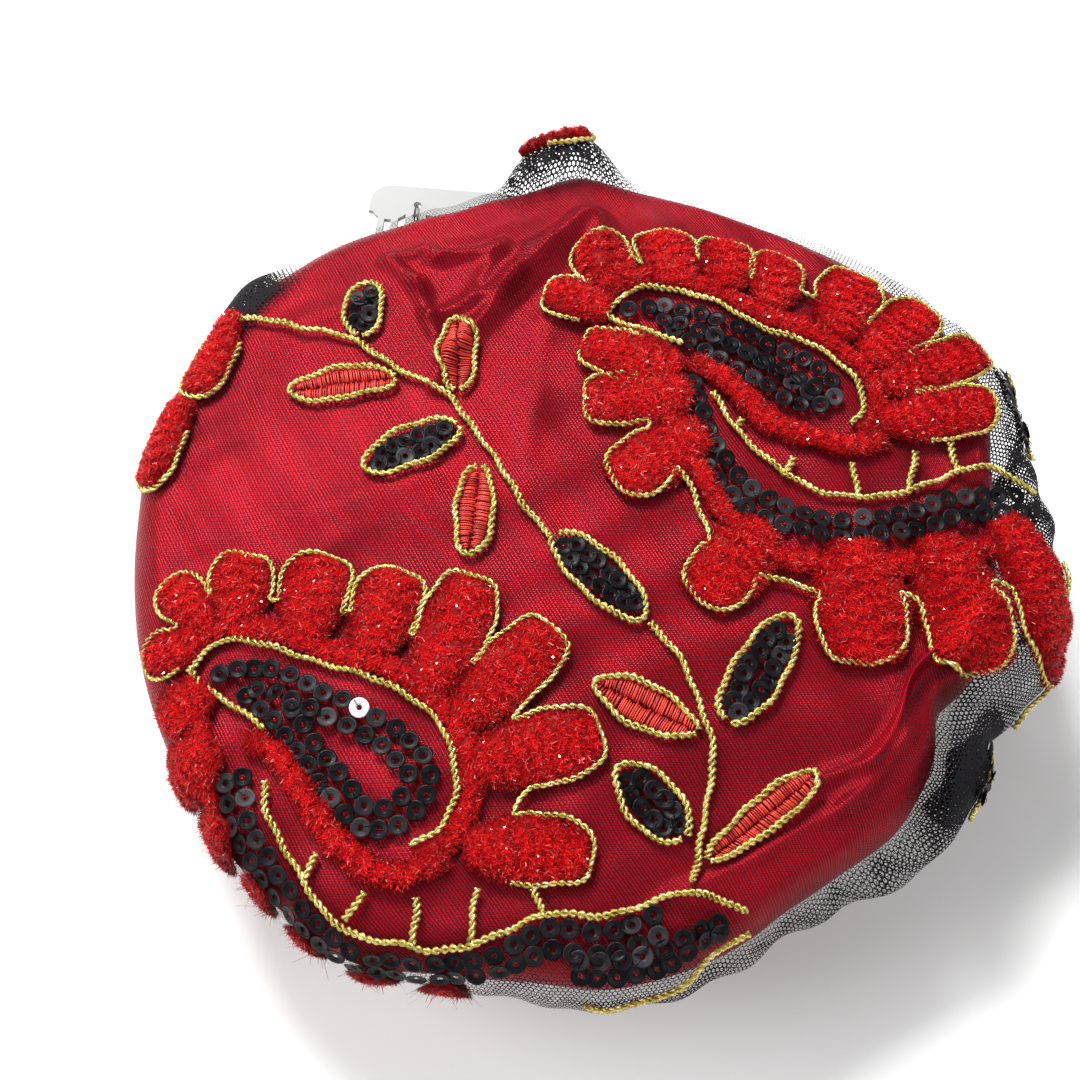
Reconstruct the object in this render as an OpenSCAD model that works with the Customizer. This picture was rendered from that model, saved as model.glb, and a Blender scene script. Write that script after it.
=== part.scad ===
// Soft round dance hat: a padded satin crown on a stiff head band, under a loose net
// overlay that carries chenille petals, couched gold cord, stitched leaves and sequins.
// Millimetres, +Z up, +Y to the back; the origin is the centre of the band's lower edge.
// Embroidery is placed in cloth coordinates [u, v]: lengths along the net from its centre.

/* [Head band] */
// Radius of the head opening, inside the sweatband
head_r = 76; // [64:1:90]
// Height of the head band
band_h = 25.6; // [20:0.1:31]
// Height of the sweatband
sweat_h = 22; // [18:1:25]
// Thickness of the sweatband
sweat_t = 0.6; // [0.4:0.1:1.2]
// Thickness of the stiff band
band_t = 1.4; // [1:0.1:2.5]
// Thickness of the band's satin cover
cover_t = 0.6; // [0.4:0.1:1]

/* [Crown] */
// Radius of the satin crown
crown_r = 112; // [100:1:134]
// Radius of the crown's rounded rim, in section
rim_r = 13; // [11:0.5:15.5]
// Radius of the crown's shallow dome
dome_r = 900; // [750:10:1080]
// Thickness of the satin
satin_t = 0.6; // [0.4:0.1:0.8]
// Thickness of the wadding at the crown's centre
wadding_t = 9; // [7.5:0.5:9]
// Thickness of the crown board
board_t = 1.6; // [1:0.1:2]
// Thickness of the lining
lining_t = 0.5; // [0.3:0.1:0.7]

/* [Net overlay] */
// Thickness of the net, with its folds pressed flat
net_t = 0.4; // [0.3:0.05:0.5]
// Least slack between net and satin at the rim
net_slack = 1; // [0.8:0.1:3]
// How far the net hangs off centre, to the front right
net_hang = [3.5, -3]; // [-5:0.5:5]
// Height of the tape that gathers the net against the band
binding_h = 6; // [4:0.5:8]
// Thickness of that tape
binding_t = 0.6; // [0.4:0.1:1]

/* [Embroidery] */
// Diameter of the gold cord
cord_d = 1.5; // [1.2:0.1:1.8]
// Diameter of a sequin
sequin_d = 5; // [4:0.1:5]
// Distance between sequins along a row
sequin_pitch = 5.4; // [5.2:0.1:6.5]
// Thickness of the chenille
chenille_t = 1.8; // [1.4:0.1:2.2]
// Width of the chenille stems
stem_w = 4.6; // [3.6:0.1:5]
// Thickness of the stitched leaves
stitch_t = 0.7; // [0.5:0.1:0.9]

/* [Comb] */
// Length of the comb's spine
comb_w = 78; // [65:1:94]
// Width of the comb's spine
spine_w = 9.5; // [8:0.5:11.5]
// Thickness of the comb
comb_t = 1.6; // [1.3:0.1:1.9]
// Distance between the comb's teeth
tooth_pitch = 3.9; // [3.3:0.1:4.6]
// Middle of the comb's spine, inner edge
comb_at = [-18, 104.5]; // [-30:0.5:112]
// Angle of the comb to the hat's left-right line
comb_turn = -5.8; // [-12:0.1:12]

/* [Hidden] */
$fn = 96;
deg = 180 / PI;
// Clearance between soft pieces
soft_gap = 0.35;
// Straight pieces of a rounded rim's section
arc_steps = 30;

// Satin crown: a dome of radius dome_r that runs into a rim of radius rim_r
rim_low = band_h + 0.8;
rim_rc = crown_r - rim_r;
rim_zc = rim_low + rim_r;
crown_top = rim_zc + dome_r - sqrt(pow(dome_r - rim_r, 2) - rim_rc * rim_rc);
band_out = head_r + sweat_t + soft_gap + band_t + soft_gap + cover_t;

// Net overlay: the same shape, larger and off centre
net_off = norm(net_hang);
net_rim = rim_r + 1;
net_r = crown_r + net_slack + net_t + net_off;
net_rc = net_r - net_rim;
net_top = crown_top + net_t + soft_gap + net_off * rim_rc / dome_r;
net_zc = net_top - dome_r + sqrt(pow(dome_r - net_rim, 2) - net_rc * net_rc);
net_tilt = asin(net_rc / (dome_r - net_rim));
net_s1 = dome_r * net_tilt / deg;
net_s2 = net_s1 + net_rim * (180 - net_tilt) / deg;
net_hole = band_out + soft_gap;

// Wadding, board and lining under the crown
pad_in = 4;
wadding_z = crown_top - satin_t - soft_gap - wadding_t;
board_z = wadding_z - soft_gap - board_t;
lining_z = board_z - soft_gap;
lining_r = head_r + sweat_t + soft_gap + band_t;
pad_r = rim_rc - pad_in;

// Embroidery: how high it lies, ring distances and row spacing
lie = 0.35;
cord_step = 4.5;
pad_lie = 0.7;
petal_gap = 1.2;
leaf_gap = 1.3;
sequin_t = 0.3;
sequin_side = 1.6;
sequin_stagger = 4.4;

// Comb: the seam's line and its thread rings
seam_in = 3.2;
comb_gap = 0.4;
comb_z = net_zc - net_rim - comb_gap - comb_t;
loop_r = 3.4;
loop_t = 0.3;
loop_n = 4;
comb_out = [-sin(comb_turn), cos(comb_turn)];
tooth_l = comb_at * comb_out - (net_hole + binding_t + 1);
tooth_n = floor((comb_w - 6) / tooth_pitch);

// Left paisley: petals are [root, tip, width]
left_petal = [[[-96, -34], [-106, -37], 9], [[-93, -27], [-101, -19], 10],
    [[-83, -26], [-82, -13], 14], [[-66, -29], [-63, -14], 15], [[-50, -33], [-45, -18], 14],
    [[-36, -42], [-27, -20], 15], [[-27, -50], [-10, -33], 14], [[-23, -62], [0, -57], 15],
    [[-25, -82], [-2, -83], 15]];
left_drop = [[-95, -40], [-87, -33], [-74, -34], [-60, -39], [-46, -44], [-36, -51], [-31, -60],
    [-30, -69], [-34, -77], [-40, -81]];
left_drop_under = [[-95, -40], [-89, -46], [-80, -51], [-75, -54]];
left_stem_path = [[-80, -57], [-72, -60], [-64, -71], [-56, -81], [-44, -88], [-32, -84]];
left_crescent = [[-75, -67], [-73, -75], [-64, -89], [-55, -98], [-42, -104], [-33, -106],
    [-20, -103], [-10, -98], [2, -98], [21, -95], [36, -102]];
left_rungs = [[[-61, -83], [-64, -88]], [[-50, -91], [-54, -97]], [[-39, -93], [-40, -104]],
    [[-26, -92], [-27, -105]], [[-13, -92], [-11, -98]]];
left_drop_rows = [[[-87, -41], [-74, -39.5], [-62, -45], [-50, -50.5], [-40, -58], [-36, -66],
    [-40, -74.5], [-50, -77.5], [-58, -71], [-65, -62], [-72, -53], [-80, -46.5]],
    [[-62, -51], [-52, -57], [-44, -62], [-43, -69], [-50, -71], [-56, -63], [-62, -56]]];
left_band_row = [[-82, -67], [-80, -77], [-73, -88], [-64, -98], [-53, -107], [-38, -112],
    [-22, -110], [-10, -104], [2, -104], [14, -101]];
left_low = [[[-93, -47], [-100, -53], 11], [[-90, -60], [-101, -70], 14],
    [[-88, -78], [-95, -88], 13], [[-79, -92], [-86, -101], 12], [[-69, -104], [-75, -114], 13],
    [[-54, -115], [-58, -125], 13], [[-37, -120], [-39, -131], 13]];

// Right paisley
right_petal = [[[3, 58], [-8, 61], 11], [[8, 66], [2, 77], 13], [[23, 68], [20, 81], 14],
    [[36, 67], [38, 80], 13], [[48, 61], [52, 76], 12], [[63, 53], [73, 71], 15],
    [[73, 45], [88, 60], 13], [[77, 37], [100, 47], 11], [[75, 25], [101, 31], 12]];
right_drop = [[5, 55], [16, 64], [29, 61], [43, 53], [58, 46], [67, 37], [68, 29], [65, 24]];
right_drop_under = [[5, 55], [15, 50], [24, 46]];
right_stem_path = [[26, 42], [36, 34], [46, 23], [62, 18], [73, 20]];
right_crescent = [[31, 32], [35, 24], [44, 13], [54, 6], [66, 4], [78, 6], [91, 12], [101, 13],
    [112, 8]];
right_rungs = [[[38, 25], [36, 22]], [[50, 14], [47, 9]], [[64, 13], [65, 4]],
    [[80, 17], [78, 6]], [[90, 20], [92, 12]]];
right_drop_rows = [[[11, 56], [22, 58], [35, 53], [48, 46], [59, 39], [61.5, 32], [54, 28.5],
    [43, 35], [33, 43], [22, 50]], [[34, 47.5], [45.5, 41.5], [54, 35.5]]];
right_band_row = [[24, 34], [27, 22], [33, 9], [43, 0], [56, -4], [74, -3], [92, 3], [106, 4]];
right_low = [[[17, 40], [1, 45], 11], [[19, 31], [2, 29], 13], [[23, 18], [8, 8], 13],
    [[38, -9], [27, -22], 14], [[63, -14], [63, -36], 20], [[84, -12], [92, -39], 19],
    [[103, -6], [116, -38], 15]];

// Vine and its leaves: leaves are [foot, tip, width]
vine_start = [[-91, 58], [-78, 55], [-62, 50], [-55, 46], [-43, 37], [-34, 31], [-26, 19],
    [-20, 9], [-14, -1], [-11, -6]];
vine_end = [[15, -31], [21, -39], [27, -56], [26, -68], [24, -82], [23, -91]];
stitched_leaf = [[[-48, 37], [-73, 34], 6.5], [[-32, 34], [-32, 53], 7],
    [[-26, 10], [-28, -11], 7], [[23, -55], [2, -44], 7.5], [[27, -86], [50, -66], 8]];
sequin_leaf = [[[-57, 51], [-56, 66], 8], [[-32, 22], [-53, 12], 8.5], [[-7, -8], [12, -27], 9],
    [[31.5, -52], [46, -29], 9.5], [[20, -79], [7, -64], 9.5]];

// Parts of further motifs that the round cut leaves at the edge
edge_petal = [[[-93, 57], [-100, 37], 9], [[-104, 31], [-112, 12], 10], [[-13, 112], [0, 113], 9]];
edge_row = [[108, 44], [115, 25]];
front_row = [[-3, -112], [10, -112], [21, -109.5], [30, -107.5]];
side_row = [[103, -62], [97, -70]];
edge_cords = [[[112, 48], [119, 34], [120, 22]], [[121, -8], [124, -30], [116, -54]],
    [[-2, -121], [12, -121], [26, -116], [38, -109]], [[108, -62], [104, -74], [96, -78]]];

// [radius, height] of the net's outer side at distance s over the cloth
function net_profile(s) = s <= net_s1
    ? [dome_r * sin(s / dome_r * deg), net_top - dome_r * (1 - cos(s / dome_r * deg))]
    : s <= net_s2
    ? [net_rc + net_rim * sin(net_slope(s)), net_zc + net_rim * cos(net_slope(s))]
    : [net_rc - (s - net_s2), net_zc - net_rim];

// Angle between the cloth's outward side and straight up at distance s
function net_slope(s) = s <= net_s1 ? s / dome_r * deg
    : min(180, net_tilt + (s - net_s1) / net_rim * deg);

// Point of cloth coordinates [u, v], h above the net
function cloth(u, v, h) = let(s = norm([u, v]), a = net_slope(s), p = net_profile(s),
    k = s > 0 ? [u, v] / s : [0, 0], r = p[0] + h * sin(a))
    [net_hang.x + k.x * r, net_hang.y + k.y * r, p[1] + h * cos(a)];

// Smooth curve through the points p, with k steps between neighbours
function smooth(p, k = 5) = let(n = len(p)) [for (i = [0:n - 2], j = [0:k - 1])
    let(a = p[max(i - 1, 0)], b = p[i], c = p[i + 1], d = p[min(i + 2, n - 1)], t = j / k)
    (2 * b + (c - a) * t + (2 * a - 5 * b + 4 * c - d) * t * t
    + (3 * b - a - 3 * c + d) * t * t * t) / 2, p[n - 1]];

// Running lengths along the points p
function runs(p) = [for (i = 0, s = 0; i < len(p);
    s = s + (i + 1 < len(p) ? norm(p[i + 1] - p[i]) : 0), i = i + 1) s];

// Evenly spaced points along p, close to step apart
function paced(p, step) = let(s = runs(p), n = len(p) - 1, k = max(1, round(s[n] / step)),
    xs = [for (i = [0:n]) [s[i], p[i].x]], ys = [for (i = [0:n]) [s[i], p[i].y]])
    [for (i = [0:k]) let(t = i * s[n] / k) [lookup(t, xs), lookup(t, ys)]];

// Unit vector to the left of p at its point i
function left_of(p, i) = let(d = p[min(i + 1, len(p) - 1)] - p[max(i - 1, 0)])
    [-d.y, d.x] / norm(d);

// Point of a teardrop petal at angle f round it: pointed at its root, round at its tip,
// and wider all round by extra
function drop_point(petal, f, extra = 0) = let(along = petal[1] - petal[0], l = norm(along),
    d = along / l, n = [-d.y, d.x], w = petal[2] / 2 / 0.77)
    petal[0] + d * (l * (1 - cos(f)) / 2 - extra * cos(f))
    + n * (w * sin(f) * sin(f / 2) + extra * sin(f));

// Point of a leaf at angle f round it: an ellipse from foot to tip, wider by extra
function leaf_point(leaf, f, extra = 0) = let(along = leaf[1] - leaf[0], l = norm(along),
    d = along / l, n = [-d.y, d.x])
    leaf[0] + d * (l / 2 - (l / 2 + extra) * cos(f)) + n * (leaf[2] / 2 + extra) * sin(f);

// Closed solid through rings of [u, v, h] points laid over the cloth
module over_cloth(rings) {
    n = len(rings[0]);
    m = len(rings);
    last = (m - 1) * n;
    points = [for (ring = rings, q = ring) cloth(q.x, q.y, q.z)];
    sides = [for (i = [0:m - 2], j = [0:n - 1]) let(a = i * n + j, b = i * n + (j + 1) % n)
        each [[a, b + n, b], [a, a + n, b + n]]];
    ends = [for (j = [1:n - 2]) each [[0, j, j + 1], [last, last + j + 1, last + j]]];
    polyhedron(points, concat(sides, ends), convexity = 6);
}

// Round cord couched along the path p
module cord(p, step = cord_step) {
    q = paced(smooth(p), step);
    r = cord_d / 2;
    h = lie + r;
    over_cloth([for (i = [0:len(q) - 1]) let(n = left_of(q, i) * r)
        [[q[i].x - n.x, q[i].y - n.y, h], [q[i].x, q[i].y, h - r],
        [q[i].x + n.x, q[i].y + n.y, h], [q[i].x, q[i].y, h + r]]]);
}

// Low pad over the cloth between the outline points a and b of each cross line
module pad(lines, t) {
    shares = [0, 0.33, 0.67, 1];
    over_cloth([for (line = lines) let(a = line[0], b = line[1]) concat(
        [for (k = shares) let(q = a + (b - a) * k) [q.x, q.y, pad_lie]],
        [for (k = [1, 0.67, 0.33, 0]) let(q = a + (b - a) * (0.08 + 0.84 * k))
        [q.x, q.y, pad_lie + t * (k == 0 || k == 1 ? 0.7 : 1)]])]);
}

// Teardrop pad of chenille
module petal(p) {
    pad([for (f = [28:19:161]) [drop_point(p, 360 - f), drop_point(p, f)]], chenille_t);
}

// Gold cord round a petal's tip and sides
module petal_loop(p) {
    cord([for (f = [62:16.86:298.1]) drop_point(p, f, petal_gap)], 3.6);
}

// Flat pad of needle-stitched leaf
module stitched(p) {
    pad([for (f = [22:17:158]) [leaf_point(p, 360 - f), leaf_point(p, f)]], stitch_t);
}

// Gold cord all round a leaf, open a little at its foot
module leaf_loop(p) {
    cord([for (f = [20:16:340]) leaf_point(p, f, leaf_gap)], 3.6);
}

// Chenille stem along the path p
module stem(p) {
    q = paced(smooth(p), cord_step);
    pad([for (i = [0:len(q) - 1]) let(n = left_of(q, i) * stem_w / 2) [q[i] - n, q[i] + n]],
        chenille_t * 0.9);
}

// One sequin lying on the cloth at q
module sequin(q) {
    translate(cloth(q.x, q.y, lie))
        rotate([0, net_slope(norm(q)), atan2(q.y, q.x)])
        cylinder(d = sequin_d, h = sequin_t, $fn = 24);
}

// Row of sequins along the path p
module sequin_row(p, pitch = sequin_pitch) {
    for (q = paced(smooth(p), pitch)) sequin(q);
}

// Staggered row of sequins along the leaf's middle
module leaf_rows(p) {
    l = norm(p[1] - p[0]);
    d = (p[1] - p[0]) / l;
    n = [-d.y, d.x] * sequin_side;
    k = floor((l - 1.5 * sequin_d) / sequin_stagger);
    for (i = [0:k])
        sequin(p[0] + d * (l / 2 + (i - k / 2) * sequin_stagger) + n * (i % 2 == 0 ? 1 : -1));
}

// Section of a cap skin, from the axis over the dome and round the rim to angle f1:
// the rim's centre is at radius r_c and height z_c, and the line lies "in" inside
function cap_outer(top, r_c, z_c, r, in, f1) = let(a = asin(r_c / (dome_r - r)))
    concat([for (i = [0:8]) let(b = a * i / 8)
        [(dome_r - in) * sin(b), top - dome_r + (dome_r - in) * cos(b)]],
        [for (i = [1:arc_steps]) let(b = a + (f1 - a) * i / arc_steps)
        [r_c + (r - in) * sin(b), z_c + (r - in) * cos(b)]]);
function turned_round(p) = [for (i = [len(p) - 1:-1:0]) p[i]];

module ring(r_in, r_out, z_in, z_out) {
    translate([0, 0, z_in]) difference() {
        cylinder(r = r_out, h = z_out - z_in);
        translate([0, 0, -1]) cylinder(r = r_in, h = z_out - z_in + 2);
    }
}

module sweatband() {
    color("#5a1a24") ring(head_r, head_r + sweat_t, 0, sweat_h);
}

module headband() {
    r = head_r + sweat_t + soft_gap;
    color("#d8d2c4") ring(r, r + band_t, 0, band_h - soft_gap);
}

module band_cover() {
    color("#a00f2a") ring(band_out - cover_t, band_out, 0, band_h);
}

module crown_lining() {
    color("#3a1018") difference() {
        translate([0, 0, band_h]) cylinder(r = lining_r, h = lining_z - band_h);
        translate([0, 0, band_h - 1])
            cylinder(r = lining_r - lining_t, h = lining_z - lining_t - band_h + 1);
    }
}

module crown_board() {
    color("#c9bfa6") translate([0, 0, board_z]) cylinder(r = pad_r, h = board_t);
}

module crown_wadding() {
    z0 = crown_top - dome_r;
    r = dome_r - satin_t - soft_gap;
    a = asin(pad_r / r);
    color("#efece4") rotate_extrude() polygon(concat([[0, wadding_z], [pad_r, wadding_z]],
        [for (i = [8:-1:0]) [r * sin(a * i / 8), z0 + r * cos(a * i / 8)]]));
}

module rim_wadding() {
    r = rim_r - satin_t - soft_gap;
    a = asin((pad_r + soft_gap - rim_rc) / r);
    r_in = max(lining_r, band_out) + soft_gap;
    color("#efece4") rotate_extrude() polygon(concat(
        [[r_in, rim_zc - r], [r_in, board_z - soft_gap], [pad_r + soft_gap, board_z - soft_gap]],
        [for (i = [0:arc_steps]) let(b = a + (180 - a) * i / arc_steps)
        [rim_rc + r * sin(b), rim_zc + r * cos(b)]]));
}

module satin_crown() {
    color("#a80f2c") rotate_extrude() polygon(concat(
        cap_outer(crown_top, rim_rc, rim_zc, rim_r, 0, 170),
        turned_round(cap_outer(crown_top, rim_rc, rim_zc, rim_r, satin_t, 170))));
}

module satin_under() {
    color("#8c0d25") rotate_extrude() polygon([
        [band_out + soft_gap, rim_low], [rim_rc, rim_low], [rim_rc, rim_low + satin_t],
        [band_out + soft_gap, rim_low + satin_t]]);
}

module net_overlay() {
    color([0.08, 0.08, 0.09, 0.6]) difference() {
        translate([net_hang.x, net_hang.y, 0]) rotate_extrude() polygon(concat(
            cap_outer(net_top, net_rc, net_zc, net_rim, 0, 180),
            [[net_hole - net_off - 2, net_zc - net_rim],
            [net_hole - net_off - 2, net_zc - net_rim + net_t]],
            turned_round(cap_outer(net_top, net_rc, net_zc, net_rim, net_t, 180))));
        cylinder(r = net_hole, h = rim_zc);
    }
}

module net_binding() {
    z = net_zc - net_rim - soft_gap;
    color("#141214") ring(net_hole, net_hole + binding_t, z - binding_h, z);
}

// The comb's flat outline: spine with rounded ends, and round-tipped teeth
module comb_outline() {
    e = 6;
    tooth_w = tooth_pitch / 2;
    translate([-comb_w / 2 + e, 0]) square([comb_w - 2 * e, spine_w]);
    for (x = [-1, 1]) {
        translate([x * (comb_w / 2 - e), spine_w - e]) circle(r = e);
        translate([x * (comb_w - e) / 2, (spine_w - e) / 2])
            square([e, spine_w - e], center = true);
    }
    for (i = [0:tooth_n]) translate([(i - tooth_n / 2) * tooth_pitch, 0]) {
        translate([-tooth_w / 2, tooth_w / 2 - tooth_l]) square([tooth_w, tooth_l]);
        translate([0, tooth_w / 2 - tooth_l]) circle(d = tooth_w, $fn = 24);
    }
}

// Each sewing hole lies in line with a gap between teeth, four gaps apart
function loop_x(i) = (floor(tooth_n / 2) - 7 + 4 * i + 0.5 - tooth_n / 2) * tooth_pitch;

module at_comb() {
    translate([comb_at.x, comb_at.y, comb_z]) rotate(comb_turn) children();
}

module comb() {
    color([0.93, 0.94, 0.95, 0.5]) at_comb() difference() {
        linear_extrude(comb_t) comb_outline();
        for (i = [0:loop_n - 1]) translate([loop_x(i), seam_in, -1])
            cylinder(r = 1.1, h = comb_t + 2, $fn = 32);
    }
}

module comb_stitches() {
    color("#1c1a1c") at_comb() for (i = [0:loop_n - 1])
        translate([loop_x(i), seam_in - loop_r, comb_t / 2]) rotate([0, 90, 0])
        rotate_extrude($fn = 48) translate([loop_r, 0]) circle(r = loop_t, $fn = 16);
}

module petals(list) {
    color("#d8141c") for (p = list) petal(p);
}

module petal_cords(list) {
    color("#d9b84a") for (p = list) petal_loop(p);
}

module drop_cord(top, under) {
    color("#d9b84a") {
        cord(top);
        cord(under);
    }
}

module drop_sequins(rows) {
    color("#17151a") for (row = rows) sequin_row(row);
}

module crescent_cord(path, rungs) {
    color("#d9b84a") {
        cord(path);
        for (r = rungs) cord(r);
    }
}

module band_sequins(row) {
    color("#17151a") sequin_row(row);
}

module left_petals() petals(left_petal);
module left_petal_cord() petal_cords(left_petal);
module left_drop_cord() drop_cord(left_drop, left_drop_under);
module left_drop_sequins() drop_sequins(left_drop_rows);
module left_stem() color("#d8141c") stem(left_stem_path);
module left_crescent_cord() crescent_cord(left_crescent, left_rungs);
module left_band_sequins() band_sequins(left_band_row);
module left_low_petals() petals(left_low);
module right_petals() petals(right_petal);
module right_petal_cord() petal_cords(right_petal);
module right_drop_cord() drop_cord(right_drop, right_drop_under);
module right_drop_sequins() drop_sequins(right_drop_rows);
module right_stem() color("#d8141c") stem(right_stem_path);
module right_crescent_cord() crescent_cord(right_crescent, right_rungs);
module right_band_sequins() band_sequins(right_band_row);
module right_low_petals() petals(right_low);
module right_low_cord() petal_cords([for (i = [1:len(right_low) - 1]) right_low[i]]);

module vine_cord() {
    color("#d9b84a") {
        cord(vine_start);
        cord(vine_end);
    }
}

module stitched_leaves() {
    color("#e8412a") for (p = stitched_leaf) stitched(p);
}

module stitched_leaf_cord() {
    color("#d9b84a") for (p = stitched_leaf) leaf_loop(p);
}

module leaf_sequins() {
    color("#17151a") for (p = sequin_leaf) leaf_rows(p);
}

module sequin_leaf_cord() {
    color("#d9b84a") for (p = sequin_leaf) leaf_loop(p);
}

module edge_petals() petals(edge_petal);
module edge_petal_cord() petal_cords(edge_petal);

module edge_sequins() {
    color("#17151a") for (row = [edge_row, front_row, side_row]) sequin_row(row);
}

module edge_cord() {
    color("#d9b84a") for (path = edge_cords) cord(path);
}

headband();
band_cover();
sweatband();
crown_lining();
crown_board();
crown_wadding();
rim_wadding();
satin_crown();
satin_under();
net_overlay();
net_binding();
comb();
comb_stitches();
left_petals();
left_petal_cord();
left_drop_cord();
left_drop_sequins();
left_stem();
left_crescent_cord();
left_band_sequins();
left_low_petals();
right_petals();
right_petal_cord();
right_drop_cord();
right_drop_sequins();
right_stem();
right_crescent_cord();
right_band_sequins();
right_low_petals();
right_low_cord();
vine_cord();
stitched_leaves();
stitched_leaf_cord();
leaf_sequins();
sequin_leaf_cord();
edge_petals();
edge_petal_cord();
edge_sequins();
edge_cord();
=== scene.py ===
import math

import bpy
import numpy as np
from mathutils import Matrix, Vector


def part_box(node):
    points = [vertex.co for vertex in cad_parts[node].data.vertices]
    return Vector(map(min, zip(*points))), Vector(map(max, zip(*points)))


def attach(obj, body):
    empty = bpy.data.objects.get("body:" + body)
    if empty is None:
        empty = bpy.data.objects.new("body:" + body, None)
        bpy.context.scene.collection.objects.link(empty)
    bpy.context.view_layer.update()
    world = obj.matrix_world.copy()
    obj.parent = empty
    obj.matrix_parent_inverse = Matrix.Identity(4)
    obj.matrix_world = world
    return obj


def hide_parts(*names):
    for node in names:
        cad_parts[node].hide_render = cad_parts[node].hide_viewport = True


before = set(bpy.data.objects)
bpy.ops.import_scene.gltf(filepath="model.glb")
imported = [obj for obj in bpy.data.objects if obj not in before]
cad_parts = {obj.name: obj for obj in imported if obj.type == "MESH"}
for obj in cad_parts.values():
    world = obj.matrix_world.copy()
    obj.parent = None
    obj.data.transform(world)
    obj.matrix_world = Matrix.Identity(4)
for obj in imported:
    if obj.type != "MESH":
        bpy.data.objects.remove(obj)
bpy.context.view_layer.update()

mm = 0.001
dice = np.random.default_rng(7)

# ---- camera, and the helper that makes lights

view = {"elevation": 65.0, "distance": 420.0, "lens": 56.0, "aim": (-7.95, -1.4, 38.0)}


def addCamera(v):
    tilt = math.radians(v["elevation"])
    back = Vector((0, -math.cos(tilt), math.sin(tilt)))
    data = bpy.data.cameras.new("camera")
    data.lens = v["lens"]
    data.sensor_width = 36
    data.clip_start = 0.01
    camera = bpy.data.objects.new("camera", data)
    camera.location = (Vector(v["aim"]) + v["distance"] * back) * mm
    camera.rotation_euler = (math.radians(90) - tilt, 0, 0)
    bpy.context.collection.objects.link(camera)
    bpy.context.scene.camera = camera


def addLight(name, at, size, power, aim=(0, 0, 0.04)):
    data = bpy.data.lights.new(name, "AREA")
    data.shape = "RECTANGLE"
    data.size, data.size_y = size
    data.energy = power
    light = bpy.data.objects.new(name, data)
    light.location = at
    light.rotation_euler = (Vector(aim) - Vector(at)).to_track_quat("-Z", "Y").to_euler()
    bpy.context.collection.objects.link(light)


addCamera(view)
print("camera set")

# ---- materials


def newMaterial(name, **values):
    # a Principled BSDF with plain values set on its own sockets
    material = bpy.data.materials.new(name)
    material.use_nodes = True
    shader = material.node_tree.nodes["Principled BSDF"]
    for socket, value in values.items():
        shader.inputs[socket.replace("_", " ")].default_value = value
    return material, material.node_tree.nodes, material.node_tree.links, shader


def rgb(*c):
    return (*c, 1.0)


def mathNode(nodes, links, operation, *inputs):
    node = nodes.new("ShaderNodeMath")
    node.operation = operation
    for i, value in enumerate(inputs):
        if isinstance(value, (int, float)):
            node.inputs[i].default_value = value
        else:
            links.new(value, node.inputs[i])
    return node.outputs[0]


def vectorNode(nodes, links, operation, *inputs):
    node = nodes.new("ShaderNodeVectorMath")
    node.operation = operation
    for i, value in enumerate(inputs):
        if isinstance(value, (tuple, list)):
            node.inputs[i].default_value = value
        else:
            links.new(value, node.inputs[i])
    return node.outputs["Value" if operation in ("LENGTH", "DOT_PRODUCT") else "Vector"]


def blendMasks(nodes, links, first, share, second):
    # first times share plus second times the rest
    return mathNode(nodes, links, "ADD", mathNode(nodes, links, "MULTIPLY", first, share),
                    mathNode(nodes, links, "MULTIPLY", second, round(1 - share, 2)))


def newGroup(name, inputs, outputs):
    group = bpy.data.node_groups.new(name, "ShaderNodeTree")
    for label, kind, value in inputs:
        socket = group.interface.new_socket(label, in_out="INPUT", socket_type="NodeSocket" + kind)
        if value is not None:
            socket.default_value = value
    for label, kind in outputs:
        group.interface.new_socket(label, in_out="OUTPUT", socket_type="NodeSocket" + kind)
    return group, group.nodes.new("NodeGroupInput"), group.nodes.new("NodeGroupOutput")


def placeGroup(nodes, links, group, **values):
    node = nodes.new("ShaderNodeGroup")
    node.node_tree = group
    for label, value in values.items():
        socket = node.inputs[label.replace("_", " ")]
        if isinstance(value, (int, float, tuple)):
            socket.default_value = value
        else:
            links.new(value, socket)
    return node


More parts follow.
